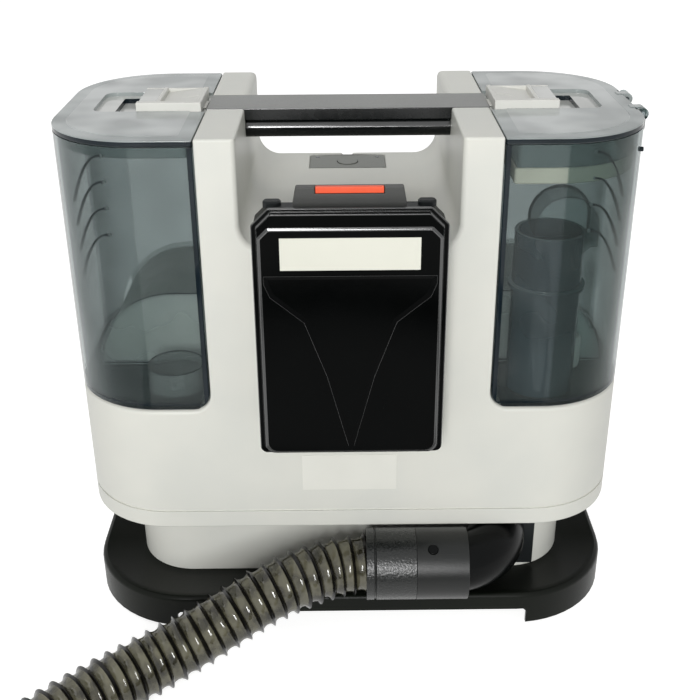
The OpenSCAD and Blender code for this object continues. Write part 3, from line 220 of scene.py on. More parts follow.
# Moulded plastics: colour, flow shade, roughness, grain and its depth in mm, gloss. The grain of a
# spark-eroded mould is really about 0.1 mm: below 1 mm it is drawn 5 to 10 times too coarse, so it shows.
MOULDED = {
    # Light grey ABS from a spark-eroded mould: a soft satin that shows no reflection with an edge
    "abs_satin_grey": ("#DCDCD4", "#D6D7D0", 0.42, 0.8, 0.02, 0.35),
    # The same ABS in mid grey: the sunk parts read a step darker than the shell
    "abs_satin_mid": ("#72756E", "#6C6F69", 0.4, 0.6, 0.02, 0.4),
    # Black ABS from an etched mould: broad dull highlights broken into specks
    "abs_grained_black": ("#1E2122", "#181B1C", 0.4, 0.9, 0.09, 0.2),
    # Black ABS with a deep leather grain on the hose's cuff: a lively, pebbled shine
    "abs_leather_black": ("#131615", "#0F1211", 0.3, 1.3, 0.25, 0.55),
    # Black ABS from a lightly etched mould on the socket: a quiet shine with soft specks
    "abs_etched_black": ("#101312", "#0D0F0E", 0.36, 1.0, 0.06, 0.4),
    # Black ABS with a fine grain on the tray: it stays deep black and hardly shines
    "abs_fine_black": ("#11140F", "#0D100C", 0.36, 0.9, 0.04, 0.12),
    # Black ABS from a polished mould: a black field in which only lamps show
    "abs_polished_black": ("#040505", "#030404", 0.12, 12, 0.02, 0.04),
    # The same black ABS made lighter and far glossier for its broken edges: a painted highlight that shows
    # them as a thin grey line
    "abs_black_painted_edge_highlight": ("#1A1C1C", "#161818", 0.16, 12, 0.01, 1.0),
    # Black ABS from a stoned mould under the hand: long soft highlights along the grip
    "abs_stoned_black": ("#0B0E0E", "#080B0B", 0.26, 6, 0.01, 0.3),
    # Mid-grey ABS with a matt grain on the handle: an even tone from every side
    "abs_matt_grey": ("#8E8F8D", "#888987", 0.5, 0.7, 0.03, 0.3),
    # Dark grey ABS with a grain: the key stands out from the black case
    "abs_grained_grey": ("#484947", "#3E3F3E", 0.42, 0.8, 0.06, 0.3),
    # Orange ABS: a warm, even stripe with a satin surface
    "abs_satin_orange": ("#F2603C", "#EA5834", 0.35, 0.6, 0.02, 0.3),
    # White acetal, self-oiled and moulded: slightly waxy, without a sharp highlight
    "acetal_white": ("#DADAD4", "#D4D4CE", 0.4, 0.8, 0.02, 0.3),
    # Black ABS from a smooth mould on the elbow: slow waves in its highlight
    "abs_smooth_black": ("#080A0A", "#060707", 0.24, 8, 0.04, 0.1),
    # Moulded rubber: dull, with no highlight at all
    "rubber_moulded": ("#1C1E20", "#161819", 0.75, 0.6, 0.04, 0.15),
    # Moulded silicone: a soft ivory band behind the smoke walls
    "silicone_moulded": ("#E0DECC", "#D6D4C2", 0.55, 0.8, 0.03, 0.3),
    # Dark polypropylene inside the machine: matt, so it stays in the background
    "polypropylene_grey": ("#34373A", "#2E3133", 0.5, 0.7, 0.04, 0.3),
    # Labels of coated film, ivory and white: flat and pale, with hardly any relief
    "film_coated_ivory": ("#DEDED2", "#DADACE", 0.4, 1.2, 0.01, 0.2),
    "film_coated_white": ("#E6E6DE", "#E0E0D8", 0.4, 1.2, 0.01, 0.3),
    # Polished acrylic light pipes, unlit: small shiny grey dots
    "acrylic_polished": ("#5C6266", "#54595C", 0.2, 2, 0.01, 0.5),
    # Extruded silicone tube: milky and smooth
    "silicone_extruded": ("#C8D0D4", "#BEC6CA", 0.35, 2, 0.02, 0.5),
    # Lacquer over a circuit board: green with a wet shine
    "lacquer_green": ("#123C22", "#0E3018", 0.35, 2, 0.02, 0.5),
    # Shrunk PVC sleeve on the cells: smooth, with a broad highlight along each cell
    "pvc_shrunk": ("#3F7F6A", "#387460", 0.3, 4, 0.02, 0.5),
    # Glossy PVC cord wound on the hose: near black, each ridge with one fine bright line
    "pvc_ridge": ("#0C0B09", "#080706", 0.2, 3, 0.03, 0.25)}

# Smoke polycarbonate, moulded and clear: wall colour, tint, veil, edge, rim, outline, gloss
SMOKES = {
    # A tank's flat wall: a faint grey veil over what is behind it
    "smoke_pc_flat": ("#7A8281", "#EEF1F1", 0.1, 0.4),
    # Its back wall, seen through the front one: the tint doubles
    "smoke_pc_back": ("#525E5E", "#C4CACA", 0.2, 0.45),
    # Its round corners: dark where the wall runs with the eye, pale past that, with a dark outline
    "smoke_pc_round": ("#5E6868", "#E4E8E8", 0.12, 0.6, "#788284", "#26343A"),
    "smoke_pc_round_pale": ("#525C59", "#D6DEDE", 0.14, 0.65, "#727C7E"),
    # Walls inside the tank: paler, as light comes at them from both sides
    "smoke_pc_inner": ("#A0AAA8", "#FAFCFB", 0.22, 0.4),
    # Edges looked at along the sheet: nearly black
    "smoke_pc_cut": ("#141F26", "#5A6E74", 0.85, 0.95, None, None, 0.2),
    # The tank's wall over the hump, where it faces front: a pale veil, painted light for the housing that
    # lies in shade behind it
    "smoke_pc_hump_painted_light": ("#D4DCDA", "#FAFCFB", 0.34, 0.45),
    # The lids' field, outer band and pocket floor: pale grey, a painted reflection of the bright room on
    # their top faces
    "smoke_pc_lid_painted_sheen": ("#BABFBE", "#D8DEDE", 0.72, 0.85, None, None, 0.3),
    "smoke_pc_lid_edge": ("#A8AFAE", "#C8D0D0", 0.75, 0.85, None, None, 0.3),
    "smoke_pc_pocket": ("#C9CBC7", "#D8DEDE", 0.85, 0.9, None, None, 0.3),
    # The bands under the lids: a second layer behind the tank's wall
    "smoke_pc_plug": ("#7C8886", "#D4DCDC", 0.3, 0.6),
    # The standpipe and its hood: a dark tube with its upward faces painted grey as a highlight, and a
    # nearly clear cover
    "smoke_pc_pipe": ("#42525A", "#8CA0A2", 0.7, 0.9),
    "smoke_pc_pipe_painted_highlight": ("#8A989A", "#A8B8B8", 0.6, 0.8),
    "smoke_pc_hood": ("#56666A", "#E6ECEC", 0.06, 0.35)}

# Metals: colour, roughness, and the spacing of the marks in mm
METALS = {
    # Turned steel: bright, its reflection softened by fine turning marks
    "steel_turned": ("#9FA2A5", 0.3, 0.2),
    # Die-cast aluminium: a dull grey shine, mottled by the casting's skin
    "aluminium_cast": ("#8A8D90", 0.4, 0.6),
    # Brass plated and wiped: small yellow blades
    "brass_plated": ("#C9A23A", 0.25, 0.3)}


def make_finishes():
    """Every finish on the machine, named for the real material and how it was made."""
    kit = {name: moulded(name, *how) for name, how in MOULDED.items()}
    kit.update({name: smoke(name, *how) for name, how in SMOKES.items()})
    kit.update({name: metal(name, *how) for name, how in METALS.items()})
    kit["pvc_web"] = hose_web()
    return kit


# ---------------- making meshes

def from_bmesh(work):
    """A mesh with its faces turned outwards; the bmesh is used up."""
    mesh = bpy.data.meshes.new("work")
    bmesh.ops.recalc_face_normals(work, faces=work.faces)
    work.to_mesh(mesh)
    work.free()
    return mesh


def skin(rings, closed=False):
    """A closed solid through rings of equally many points in mm: capped at its ends, or run into itself."""
    work = bmesh.new()
    made = [[work.verts.new(Vector(point) * MM) for point in ring] for ring in rings]
    for i in range(len(made) if closed else len(made) - 1):
        ring, following = made[i], made[(i + 1) % len(made)]
        for k in range(len(ring)):
            j = (k + 1) % len(ring)
            work.faces.new((ring[k], ring[j], following[j], following[k]))
    if not closed:
        work.faces.new(list(reversed(made[0])))
        work.faces.new(made[-1])
    return from_bmesh(work)


def block(x0, x1, y0, y1, z0, z1):
    """A plain box to cut or join with."""
    return skin([[(x0, y0, z), (x1, y0, z), (x1, y1, z), (x0, y1, z)] for z in (z0, z1)])


def turns(steps):
    """Angles that go once round."""
    return [2 * math.pi * k / steps for k in range(steps)]


def arc(cx, cy, r, a0, a1, steps):
    """Points along a round, from one angle in degrees to another, both ends included."""
    angles = [math.radians(a0 + (a1 - a0) * k / steps) for k in range(steps + 1)]
    return [(cx + r * math.cos(a), cy + r * math.sin(a)) for a in angles]


def circle(x, y, r, steps):
    """Points once round."""
    return arc(x, y, r, 0, 360, steps)[:-1]


def at(z, line):
    """A line drawn in plan, at a height."""
    return [(x, y, z) for x, y in line]


def drum(x, y, r, z0, z1, steps=40):
    """An upright round bar."""
    return skin([at(z, circle(x, y, r, steps)) for z in (z0, z1)])


def ball(x, y, z, r):
    """A round bead."""
    work = bmesh.new()
    bmesh.ops.create_icosphere(work, subdivisions=2, radius=r * MM,
                               matrix=Matrix.Translation(Vector((x, y, z)) * MM))
    return from_bmesh(work)


def round_plan(half_x, half_y, r, steps):
    """A rounded rectangle in plan."""
    return (arc(half_x - r, half_y - r, r, 0, 90, steps) + arc(r - half_x, half_y - r, r, 90, 180, steps)
            + arc(r - half_x, r - half_y, r, 180, 270, steps)
            + arc(half_x - r, r - half_y, r, 270, 360, steps))


def bay_plan(inset, post=0.0, inner_r=1.0, side=1):
    """A tank's plan, set in by some mm: straight beside the post, round at the machine's corners."""
    near, far = POST_SIDE + post, HALF_WIDTH - inset
    deep, r = HALF_DEPTH - inset, CORNER_R - inset
    line = (arc(near + inner_r, inner_r - deep, inner_r, 180, 270, 4)
            + arc(far - r, r - deep, r, 270, 360, 22) + arc(far - r, deep - r, r, 0, 90, 22)
            + arc(near + inner_r, deep - inner_r, inner_r, 90, 180, 4))
    return [(side * x, y) for x, y in line]


def take(temp):
    """The mesh that an object's modifiers give; the object is used up."""
    bpy.context.view_layer.update()
    mesh = bpy.data.meshes.new_from_object(temp.evaluated_get(bpy.context.evaluated_depsgraph_get()))
    bpy.data.objects.remove(temp)
    mesh.materials.clear()
    return mesh


def carve(base, *others, how="DIFFERENCE"):
    """Other meshes cut one after another from a mesh, or joined to it; they are used up."""
    for mesh in others:
        body, other = placed("work", base), placed("work", mesh)
        cutter = body.modifiers.new("carve", "BOOLEAN")
        cutter.operation = how
        cutter.solver = "EXACT"
        cutter.object = other
        base = take(body)
        bpy.data.objects.remove(other)
    return base


def joined(*meshes):
    """Several meshes as one."""
    work = bmesh.new()
    for mesh in meshes:
        work.from_mesh(mesh)
    return from_bmesh(work)


def split(mesh, *planes):
    """Extra edges where planes, each a point in mm and a direction, cross the faces."""
    work = bmesh.new()
    work.from_mesh(mesh)
    for point, direction in planes:
        bmesh.ops.bisect_plane(work, geom=work.verts[:] + work.edges[:] + work.faces[:],
                               plane_co=Vector(point) * MM, plane_no=direction, dist=1e-6)
    return from_bmesh(work)


def healed(mesh, gap, flat):
    """A mesh with points closer than a gap in metres merged, and faces within an angle made one."""
    work = bmesh.new()
    work.from_mesh(mesh)
    bmesh.ops.remove_doubles(work, verts=work.verts, dist=gap)
    bmesh.ops.dissolve_limit(work, angle_limit=math.radians(flat), verts=work.verts, edges=work.edges)
    return work


def broken(mesh, radius, segments, **limit):
    """A mesh with its edges broken to a radius in mm, on the edges that the limit says."""
    temp = placed("work", mesh)
    bevel = temp.modifiers.new("ease", "BEVEL")
    bevel.width = radius * MM
    bevel.segments = segments
    bevel.loop_slide = True
    for name, value in limit.items():
        setattr(bevel, name, value)
    return take(temp)


def soften(mesh, radius, corner, segments=2):
    """Every edge sharper than a corner angle is broken to a radius in mm."""
    return broken(from_bmesh(healed(mesh, 2e-6, 0.4)), radius, segments, limit_method="ANGLE",
                  angle_limit=math.radians(corner), use_clamp_overlap=True)


def settle(name, mesh, finishes, node, choose=None, smooth=35, nodes=()):
    """Puts a finished mesh in the scene as a piece that rides with a node's body.
    Where it has several finishes, choose gives a face's finish from its middle in mm and its direction."""
    mesh.name = name
    for finish in finishes:
        mesh.materials.append(KIT[finish])
    if choose:
        for face in mesh.polygons:
            face.material_index = choose(face.center / MM, face.normal)
    mesh.shade_smooth()
    mesh.set_sharp_from_angle(angle=math.radians(smooth))
    piece = placed(name, mesh)
    even = piece.modifiers.new("even normals", "WEIGHTED_NORMAL")
    even.keep_sharp = True
    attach(piece, BODY_OF[node])
    if nodes:
        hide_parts(*nodes)
    return piece


EASE_CORNER = 28        # degrees: edges that turn less than this stay as they are


def eased(name, node, finishes, radius, wider=None, keep=None, choose=None):
    """The solid of a CAD node with its edges broken: radius in mm, or what wider gives for an edge.
    Edges that keep names stay sharp."""
    work = healed(frame["nodes"][node].data, 2e-5, 0.8)
    bmesh.ops.dissolve_degenerate(work, dist=1e-5, edges=work.edges)
    weights = work.edges.layers.float.new("bevel_weight_edge")
    wanted = {}
    for edge in work.edges:
        if len(edge.link_faces) != 2 or edge.calc_face_angle(0) < math.radians(EASE_CORNER):
            continue
        middle = (edge.verts[0].co + edge.verts[1].co) / 2 / MM
        if not (keep and keep(middle)):
            wanted[edge] = wider(middle) if wider else radius
    widest = max([radius, *wanted.values()])
    for edge, size in wanted.items():
        edge[weights] = size / widest
    mesh = broken(from_bmesh(work), widest, 3, limit_method="WEIGHT", use_clamp_overlap=False)
    return settle(name, mesh, finishes, node, choose, nodes=[node])


# ---------------- hose

# The hose's middle line in mm, out of its cuff and down to the floor; from there it runs round two
# bends, each a middle and a radius, to the hand tool that lies before the tray
HOSE_ROUTE = [
    (17, -100, 47.4), (9, -100, 47.4), (-9, -103, 47), (-27, -110, 46), (-46, -119, 43),
    (-66, -129, 37), (-86, -140, 30), (-106, -151, 24), (-126, -164, 20.5), (-146, -180, 19),
    (-178, -211, 19), (-204, -247, 19), (-223, -286, 19), (-235, -329, 19), (-240, -377, 19)]
LOOP = ((-30, -430), 210)
TAIL = ((20, -430), 160)
HOSE_END = (10, -270)
HOSE_R = 19
PITCH = 8.7                 # from ridge to ridge
RIB_DEPTH = 3.0             # from a ridge's top to the film's lowest line
# One pitch along the hose: share of the pitch, and height as a share of the rib's depth
RIDGE = ((0, 1.0), (0.06, 0.8), (0.13, 0.4), (0.26, 0.12), (0.5, 0.0), (0.74, 0.12), (0.87, 0.4),
         (0.94, 0.8))
HOSE_SIDES = 32
STRIDE = 0.5                # mm between the points that the middle line is measured with


def smooth_line(points, spacing):
    """Points a fixed distance apart along a smooth curve through the given ones."""
    fine = []
    last, steps = len(points) - 1, 24
    for i in range(last):
        a, b, c, d = (Vector(points[max(0, min(last, i + k))]) for k in (-1, 0, 1, 2))
        for s in range(steps):
            t = s / steps
            fine.append(0.5 * ((2 * b) + (c - a) * t + (2 * a - 5 * b + 4 * c - d) * t * t
                               + (3 * b - a - 3 * c + d) * t ** 3))
    fine.append(Vector(points[-1]))
    out, walked, due = [fine[0]], 0.0, spacing
    for p, q in zip(fine, fine[1:]):
        step = (q - p).length
        while due <= walked + step and step > 0:
            out.append(p.lerp(q, (due - walked) / step))
            due += spacing
        walked += step
    return out


def make_hose():
    """A ribbed suction hose: a film bellied in between narrow ridges."""
    (loop_x, loop_y), loop_r = LOOP
    (tail_x, tail_y), tail_r = TAIL
    lying = arc(loop_x, loop_y, loop_r, 180, 360, 20) + arc(tail_x, tail_y, tail_r, 9, 90, 9) + [HOSE_END]
    line = smooth_line(HOSE_ROUTE + at(HOSE_R, lying), STRIDE)
    last = len(line) - 1
    work = bmesh.new()
    rings, path, tops = [], [], []
    for n in range(int(len(line) * STRIDE / PITCH)):
        for share, lift in RIDGE:
            i = int(round((n + share) * PITCH / STRIDE))
            if i > last:
                continue
            heading = (line[min(i + 3, last)] - line[max(i - 3, 0)]).normalized()
            side = heading.cross(Vector((0, 0, 1))).normalized()
            up = side.cross(heading)
            r = HOSE_R - RIB_DEPTH * (1 - lift)
            rings.append([work.verts.new((line[i] + (side * math.cos(a) + up * math.sin(a)) * r) * MM)
                          for a in turns(HOSE_SIDES)])
            path.append(tuple(line[i] * MM))
            tops.append(lift > 0.3)
    for i in range(len(rings) - 1):
        for k in range(HOSE_SIDES):
            j = (k + 1) % HOSE_SIDES
            face = work.faces.new((rings[i][k], rings[i][j], rings[i + 1][j], rings[i + 1][k]))
            face.material_index = 1 if tops[i] and tops[i + 1] else 0
    hose = settle("suction_hose", from_bmesh(work), ["pvc_web", "pvc_ridge"], "hose_lead",
                  smooth=60, nodes=["hose_lead", "hose_coil"])


# ---------------- tanks

FLOOR_Z, RIM_Z = 151.5, 311.7       # a tank's underside and its rim
VALVE_AT, PIPE_AT = (-107, -57), (116.4, -60)     # the valve's middle and the standpipe's, in plan
# The bay's hump, which a tank stands over: how far out, how high and how round it is, front and back
HUMP_REACH, HUMP_TOP, HUMP_R = 158.5, 200, 47
HUMP_FRONT, HUMP_BACK = -26, 62
HUMP_GAP = 0.5                      # between the hump and the tank
HUMP_SKIN = 2.9                     # from the hump to the inside of the tank's wall


def hump_block(grow, side):
    """The bay's hump, grown by some millimetres."""
    reach, top, r = HUMP_REACH + grow, HUMP_TOP + grow, HUMP_R + grow
    line = [(70, 130), (reach, 130)] + arc(reach - r, top - r, r, 0, 90, 20) + [(70, top)]
    return skin([[(side * x, y, z) for x, z in line] for y in (HUMP_FRONT - grow, HUMP_BACK + grow)])


def corner_block(r, near, low, side):
    """What a round of radius r leaves of the tank's lower corner beside the post."""
    line = ([(near - 3, low - 3), (near + r, low - 3)] + arc(near + r, low + r, r, 270, 180, 10)
            + [(near - 3, low + r)])
    return skin([[(side * x, y, z) for x, z in line] for y in (-90, 90)])


def tank_walls(side):
    """The moulded tank: its outer form less the hump, hollowed to an even wall."""
    outer = skin([at(FLOOR_Z, bay_plan(0.6, 0.4, side=side)), at(FLOOR_Z + 0.7, bay_plan(0, side=side)),
                  at(RIM_Z, bay_plan(0, side=side))])
    inner = skin([at(z, bay_plan(WALL, WALL, 3, side)) for z in (FLOOR_Z + WALL, RIM_Z + 3)])
    inner = carve(inner, hump_block(HUMP_SKIN, side),
                  corner_block(11 - WALL, POST_SIDE + WALL, FLOOR_Z + WALL, side))
    return carve(outer, hump_block(HUMP_GAP, side), corner_block(11, POST_SIDE, FLOOR_Z, side), inner)


def wall_rib(side, top):
    """A thin rib inside the front corner, and the bead at its start. It leaves the bead level and falls
    more steeply as it goes round."""
    start, sweep, fall, steps = 22, 29, 30, 16
    # Distance from the corner's middle, and height: the rib stands 1.7 mm out of the wall
    section = [(52.8, -0.6), (52.8, 0.6), (50.9, 0.45), (50.9, -0.45)]
    rings = []
    for k in range(steps + 1):
        share = k / steps
        a = math.radians(start + sweep * share)
        z = top - fall * (1 - math.cos(share * math.pi / 2))
        rings.append([(side * (CORNER_X + r * math.sin(a)), -CORNER_Y - r * math.cos(a), z + lift)
                      for r, lift in section])
    a = math.radians(start)
    bead_r = 51.5
    bead = ball(side * (CORNER_X + bead_r * math.sin(a)), -CORNER_Y - bead_r * math.cos(a), top, 1.15)
    return skin(rings), bead


def hump_line(side):
    """The hump's front edge: a thin three-sided bead where the wall turns and its tint doubles."""
    reach, top, r = HUMP_REACH + HUMP_SKIN, HUMP_TOP + HUMP_SKIN, HUMP_R + HUMP_SKIN
    line = arc(reach - r, top - r, r, 2, 90, 20) + [(87, top)]
    return skin([[(side * (x - 0.55 * math.cos(b)), HUMP_FRONT - HUMP_SKIN - 0.45 * math.sin(b),
                   z + 0.45 * math.cos(b)) for b in (0, 2.1, 4.2)] for x, z in line])


# The lid's hinge, outside the recovery tank: its pin's middle, and the knuckles round it
PIN_X, PIN_Z, KNUCKLE_R = 172.5, 312.4, 3.6


def knuckle(y, width):
    """One round knuckle of the hinge, from y towards the back."""
    return skin([[(PIN_X + KNUCKLE_R * math.cos(t), y + w, PIN_Z + KNUCKLE_R * math.sin(t))
                  for t in turns(24)] for w in (0, width)])


# The finishes of a tank's faces, in the order that tank_choice numbers them
FLAT, ROUND, CUT, INNER, BACK, OVER_HUMP_LIT = range(6)
# Below the first of these heights, and between the others, the floor's edges show as dark lines
CUT_LEVELS = (152.6, 154.4, 155.4)


def tank_choice(middle, direction):
    """Which smoke finish a face of a tank takes: flat, round, cut edge, inner, back or over the hump."""
    x, y, z = abs(middle.x), middle.y, middle.z
    if x > HALF_WIDTH + 0.2:
        return ROUND if z > 310.5 else CUT
    low, line_low, line_high = CUT_LEVELS
    beside_post = x < 86.9 and abs(direction.y) > 0.2
    if beside_post or z < low or line_low < z < line_high or z > 311 and direction.z > 0.5:
        return CUT
    if HUMP_FRONT - 3.5 < y < HUMP_BACK + 3.5 and z < 203.4 and x < 161.9:
        # Walls over the hump that face front or back take a pale veil: painted light for the shaded housing
        # behind them
        return OVER_HUMP_LIT if direction.y < -0.5 or direction.y > 0.5 and y < 0 else INNER
    if y > 25:
        return BACK
    if x > CORNER_X + 0.5 and abs(direction.x) > 0.04 and abs(direction.y) > 0.04:
        return ROUND
    return FLAT


def make_tanks():
    """Both tanks with their ribs and beads, the valve's collar, and the stop on the recovery tank."""
    for side, node, bend in ((-1, "clean_tank", "smoke_pc_round"),
                             (1, "dirty_tank", "smoke_pc_round_pale")):
        walls = ("smoke_pc_flat", bend, "smoke_pc_cut", "smoke_pc_inner", "smoke_pc_back", "smoke_pc_hump_painted_light")
        shell = tank_walls(side)
        if side < 0:
            shell = carve(shell, drum(*VALVE_AT, 9.15, 140, 160))
        else:
            # Holes for the standpipe and the duct, and a notch in the rim for the lid's knuckles
            shell = carve(shell, drum(*PIPE_AT, 16.3, 140, 160), block(82, 92, 0, 30, 262.7, 282.7),
                          block(166, 180, -20, 20, 308.3, 320))
            ears = []
            for y in (20.4, -24.4):
                ears += [knuckle(y, 4), block(169, 174.5, y, y + 4, 303.4, 311.4)]
            shell = carve(shell, *ears, how="UNION")
        shell = split(soften(shell, 0.45, 40), ((side * 87, 0, 0), (1, 0, 0)),
                      *[((0, 0, z), (0, 0, 1)) for z in CUT_LEVELS])
        settle(node + "_shell", shell, walls, node, tank_choice, 30, [node])
        ribs, beads = zip(*[wall_rib(side, top) for top in (305.7, 291, 275.7, 260.5)])
        settle(node + "_ribs", joined(*ribs, hump_line(side)), ["smoke_pc_cut"], node)
        # The beads wear the lids' pale finish: a painted highlight on each
        settle(node + "_beads", joined(*beads), ["smoke_pc_lid_painted_sheen"], node)
    # The collar round the valve, as heights and radii: out and up, over a thin lip, and down inside
    collar = skin([at(z, circle(*VALVE_AT, r, 48)) for z, r in
                   ((153.8, 18.2), (168.5, 17.4), (169, 16.9), (168.5, 16.2), (153.8, 16.4))], closed=True)
    settle("valve_collar", collar, ["smoke_pc_inner", "smoke_pc_cut"], "clean_tank",
           lambda middle, direction: 1 if middle.z > 168.3 else 0)
    stop = skin([[(164.6 + dx, -54 + 1.4 * math.cos(b), 300 + 1.4 * math.sin(b)) for b in turns(16)]
                 for dx in (-0.6, 1.6, 2.0)])
    settle("tank_stop", stop, ["smoke_pc_cut"], "dirty_tank")


# ---------------- lids

# The finishes of a lid's faces, in the order that lid_choice numbers them
FIELD, LID_CUT, POCKET, BAND = range(4)
# A lid's plate, as heights with how far it is set in from the wall and from the post
LID_LEVELS = ((312, 0.4, 0.3), (312.3, 0, 0), (313.9, 0, 0), (314.7, 0, 0), (315.2, 0.25, 0.25),
              (315.45, 0.8, 0.6), (315.5, 8.2, 8.4), (315.95, 8.9, 9.1))


def lid_plate(side):
    """A lid's plate: a low outer band, a raised field inside it, and the latch's pocket with its well."""
    def slab(line, z0, z1):
        return skin([[(side * x, y, z) for x, y in line] for z in (z0, z1)])
    plate = skin([at(z, bay_plan(inset, post, 1.2 + post * 0.3, side)) for z, inset, post in LID_LEVELS])
    cup = slab([(122.6, -23.4), (139.4, -23.4), (139.4, 21.4), (122.6, 21.4)], 309.4, 312.4)
    plate = carve(plate, cup, how="UNION")
    pocket = ([(80, -22.3), (142, -22.3)] + arc(143, -15.3, 7, 270, 360, 6) + arc(143, 20, 7, 0, 90, 6)
              + [(80, 27)])
    well = [(124, -22.3), (138, -22.3), (138, 20), (124, 20)]
    return carve(plate, slab(pocket, 313.6, 318), slab(well, 310.6, 318))


def lid_choice(middle, direction):
    """Which finish a face of a lid takes: field, cut edge, pocket floor or outer band."""
    x, y, z = abs(middle.x), middle.y, middle.z
    if x > HALF_WIDTH + 0.2:
        return BAND if z > 310.5 else LID_CUT
    if 84.2 < x < 150.2 and -22.6 < y < 27.3 and z < 315.9:
        if abs(direction.z) > 0.5:
            return POCKET
        return LID_CUT if 123.8 < x < 138.2 and z < 313.5 else BAND
    if abs(direction.z) < 0.75 and z < 315.3:
        return LID_CUT if z < 314 else BAND
    return BAND if z < 315.6 else FIELD


def wall_band(side, inset, thick, z0, z1, post, ease=0.4):
    """A wall that runs right round below a lid."""
    def ring(z, more):
        return at(z, bay_plan(inset + more, post + more, 2, side))
    return skin([ring(z0, ease), ring(z0 + ease, 0), ring(z1 - ease, 0), ring(z1, ease),
                 ring(z1, thick - ease), ring(z1 - ease, thick), ring(z0 + ease, thick),
                 ring(z0, thick - ease)], closed=True)


def make_lids():
    """The clean tank's lid with its skirt, and the hinged lid with its plug and its seal."""
    finishes = ("smoke_pc_lid_painted_sheen", "smoke_pc_cut", "smoke_pc_pocket", "smoke_pc_lid_edge")
    settle("clean_lid_plate", soften(lid_plate(-1), 0.25, 50), finishes, "clean_lid", lid_choice, 30,
           ["clean_lid"])
    settle("clean_lid_skirt", wall_band(-1, 3, 1.8, 305, 312.1, 3), ["smoke_pc_plug"], "clean_lid")
    # Notches for the tank's knuckles, then the lid's own between them
    right = carve(lid_plate(1), *[block(168.4, 178, y, y + 4.7, 311, 318) for y in (20.1, -24.8)])
    ears = []
    for y in (14, -20):
        ears += [knuckle(y, 6), block(166, 172.5, y, y + 6, 312.2, 315.9)]
    right = carve(right, *ears, how="UNION")
    settle("dirty_lid_plate", soften(right, 0.25, 50), finishes, "dirty_lid", lid_choice, 30, ["dirty_lid"])
    settle("dirty_lid_plug", wall_band(1, 4.4, 2, 289, 312.1, 7.4), ["smoke_pc_plug"], "dirty_lid")
    settle("lid_seal", wall_band(1, 2.9, 1.45, 289, 298, 5.9, 0.6), ["silicone_moulded"], "lid_gasket",
           nodes=["lid_gasket"])


# ---------------- latches

def make_latches():
    """A white slide: a front bar, a flat outer end and a sloping finger place with a slit."""
    underside = 313.9
    # Each bar: from x to x and y to y, its top, and its outer end's top where it slopes
    for side, node in ((-1, "clean_latch"), (1, "dirty_latch")):
        def slab(x0, x1, y0, y1, top, outer_top=None):
            line = ((side * x0, top), (side * x1, outer_top or top), (side * x1, underside),
                    (side * x0, underside))
            return soften(skin([[(x, y, z) for x, z in line] for y in (y0, y1)]), 0.5, 30, 3)
        bars = [slab(86, 124, -22, -17, 320.7), slab(86, 124, 20, 22, 319.8),
                slab(86, 88.8, -18, 21, 320.4), slab(110.6, 113, -18, 21, 320.3),
                slab(88, 99.5, -18, -1.2, 320, 318.8), slab(88, 99.5, 0.2, 21, 320, 318.8),
                slab(98.6, 111.5, -18, 21, 318.8, 317.3), slab(84.4, 87, -8, 8, 314.7)]
        settle(node + "_slide", joined(*bars), ["acetal_white"], node, nodes=[node])
        settle(node + "_end", slab(112.6, 124, -18, 21, 319.5), ["smoke_pc_pocket"], node)


# ---------------- battery pack

PACK_HALF, PACK_TOP, PACK_LOW = 52, 288, 141        # the pack's outline
PACK_BACK, SPLIT_Y = -86.6, -116.6                  # the case's back, and where the cover starts


def pack_line(side_in, top_in, low_in, y, r=4):
    """The pack's outline from the front: cut top corners, round bottom corners, each side set in."""
    x, top, low = PACK_HALF - side_in, PACK_TOP - top_in, PACK_LOW + low_in
    cut = max(9 - 0.6 * (side_in + top_in) / 2, 2)
    line = (arc(r - x, low + r, r, 180, 270, 6) + arc(x - r, low + r, r, 270, 360, 6)
            + [(x, top - cut - 0.8), (x - 0.25, top - cut), (x - cut, top - 0.25), (x - cut - 0.8, top),
               (cut + 0.8 - x, top), (cut - x, top - 0.25), (0.25 - x, top - cut), (-x, top - cut - 0.8)])
    return [(px, y, pz) for px, pz in line]


# The cover from back to front: how far its sides, top and bottom are set in, y, and the lower corners'
# radius. A flange, two fine steps, and a brow that slopes back to the face
COVER_STEPS = (
    (0, 0, 0, SPLIT_Y, 4), (0, 0, 0, -117.7, 4), (0.4, 0.4, 0.4, -118.1, 4), (2.6, 1.5, 1.5, -118.1, 4),
    (2.7, 1.7, 1.6, -118.7, 4.5), (2.8, 3.1, 1.7, -118.8, 4.5), (2.9, 3.4, 1.8, -119.3, 5),
    (3.3, 9.0, 2.2, -122.0, 5.5), (3.9, 9.9, 2.8, -122.45, 5.5), (5.0, 10.8, 3.6, -122.6, 5.5))
# The right half of the sunk V, at the face and 1.1 mm below it, as x and z
V_RIM = ((46, 252), (46, 247.5), (43, 240), (25, 225), (13, 192), (1.6, 148))
V_FLOOR = ((43.6, 249.8), (43.7, 247.9), (41.2, 241.5), (23.4, 226.4), (11.2, 193), (0.6, 152))


def both_halves(half):
    """A line and its mirror image, from the left top corner round."""
    (x, z), *rest = half
    return [(-x, z), (x, z), *rest] + [(-x, z) for x, z in reversed(rest)]


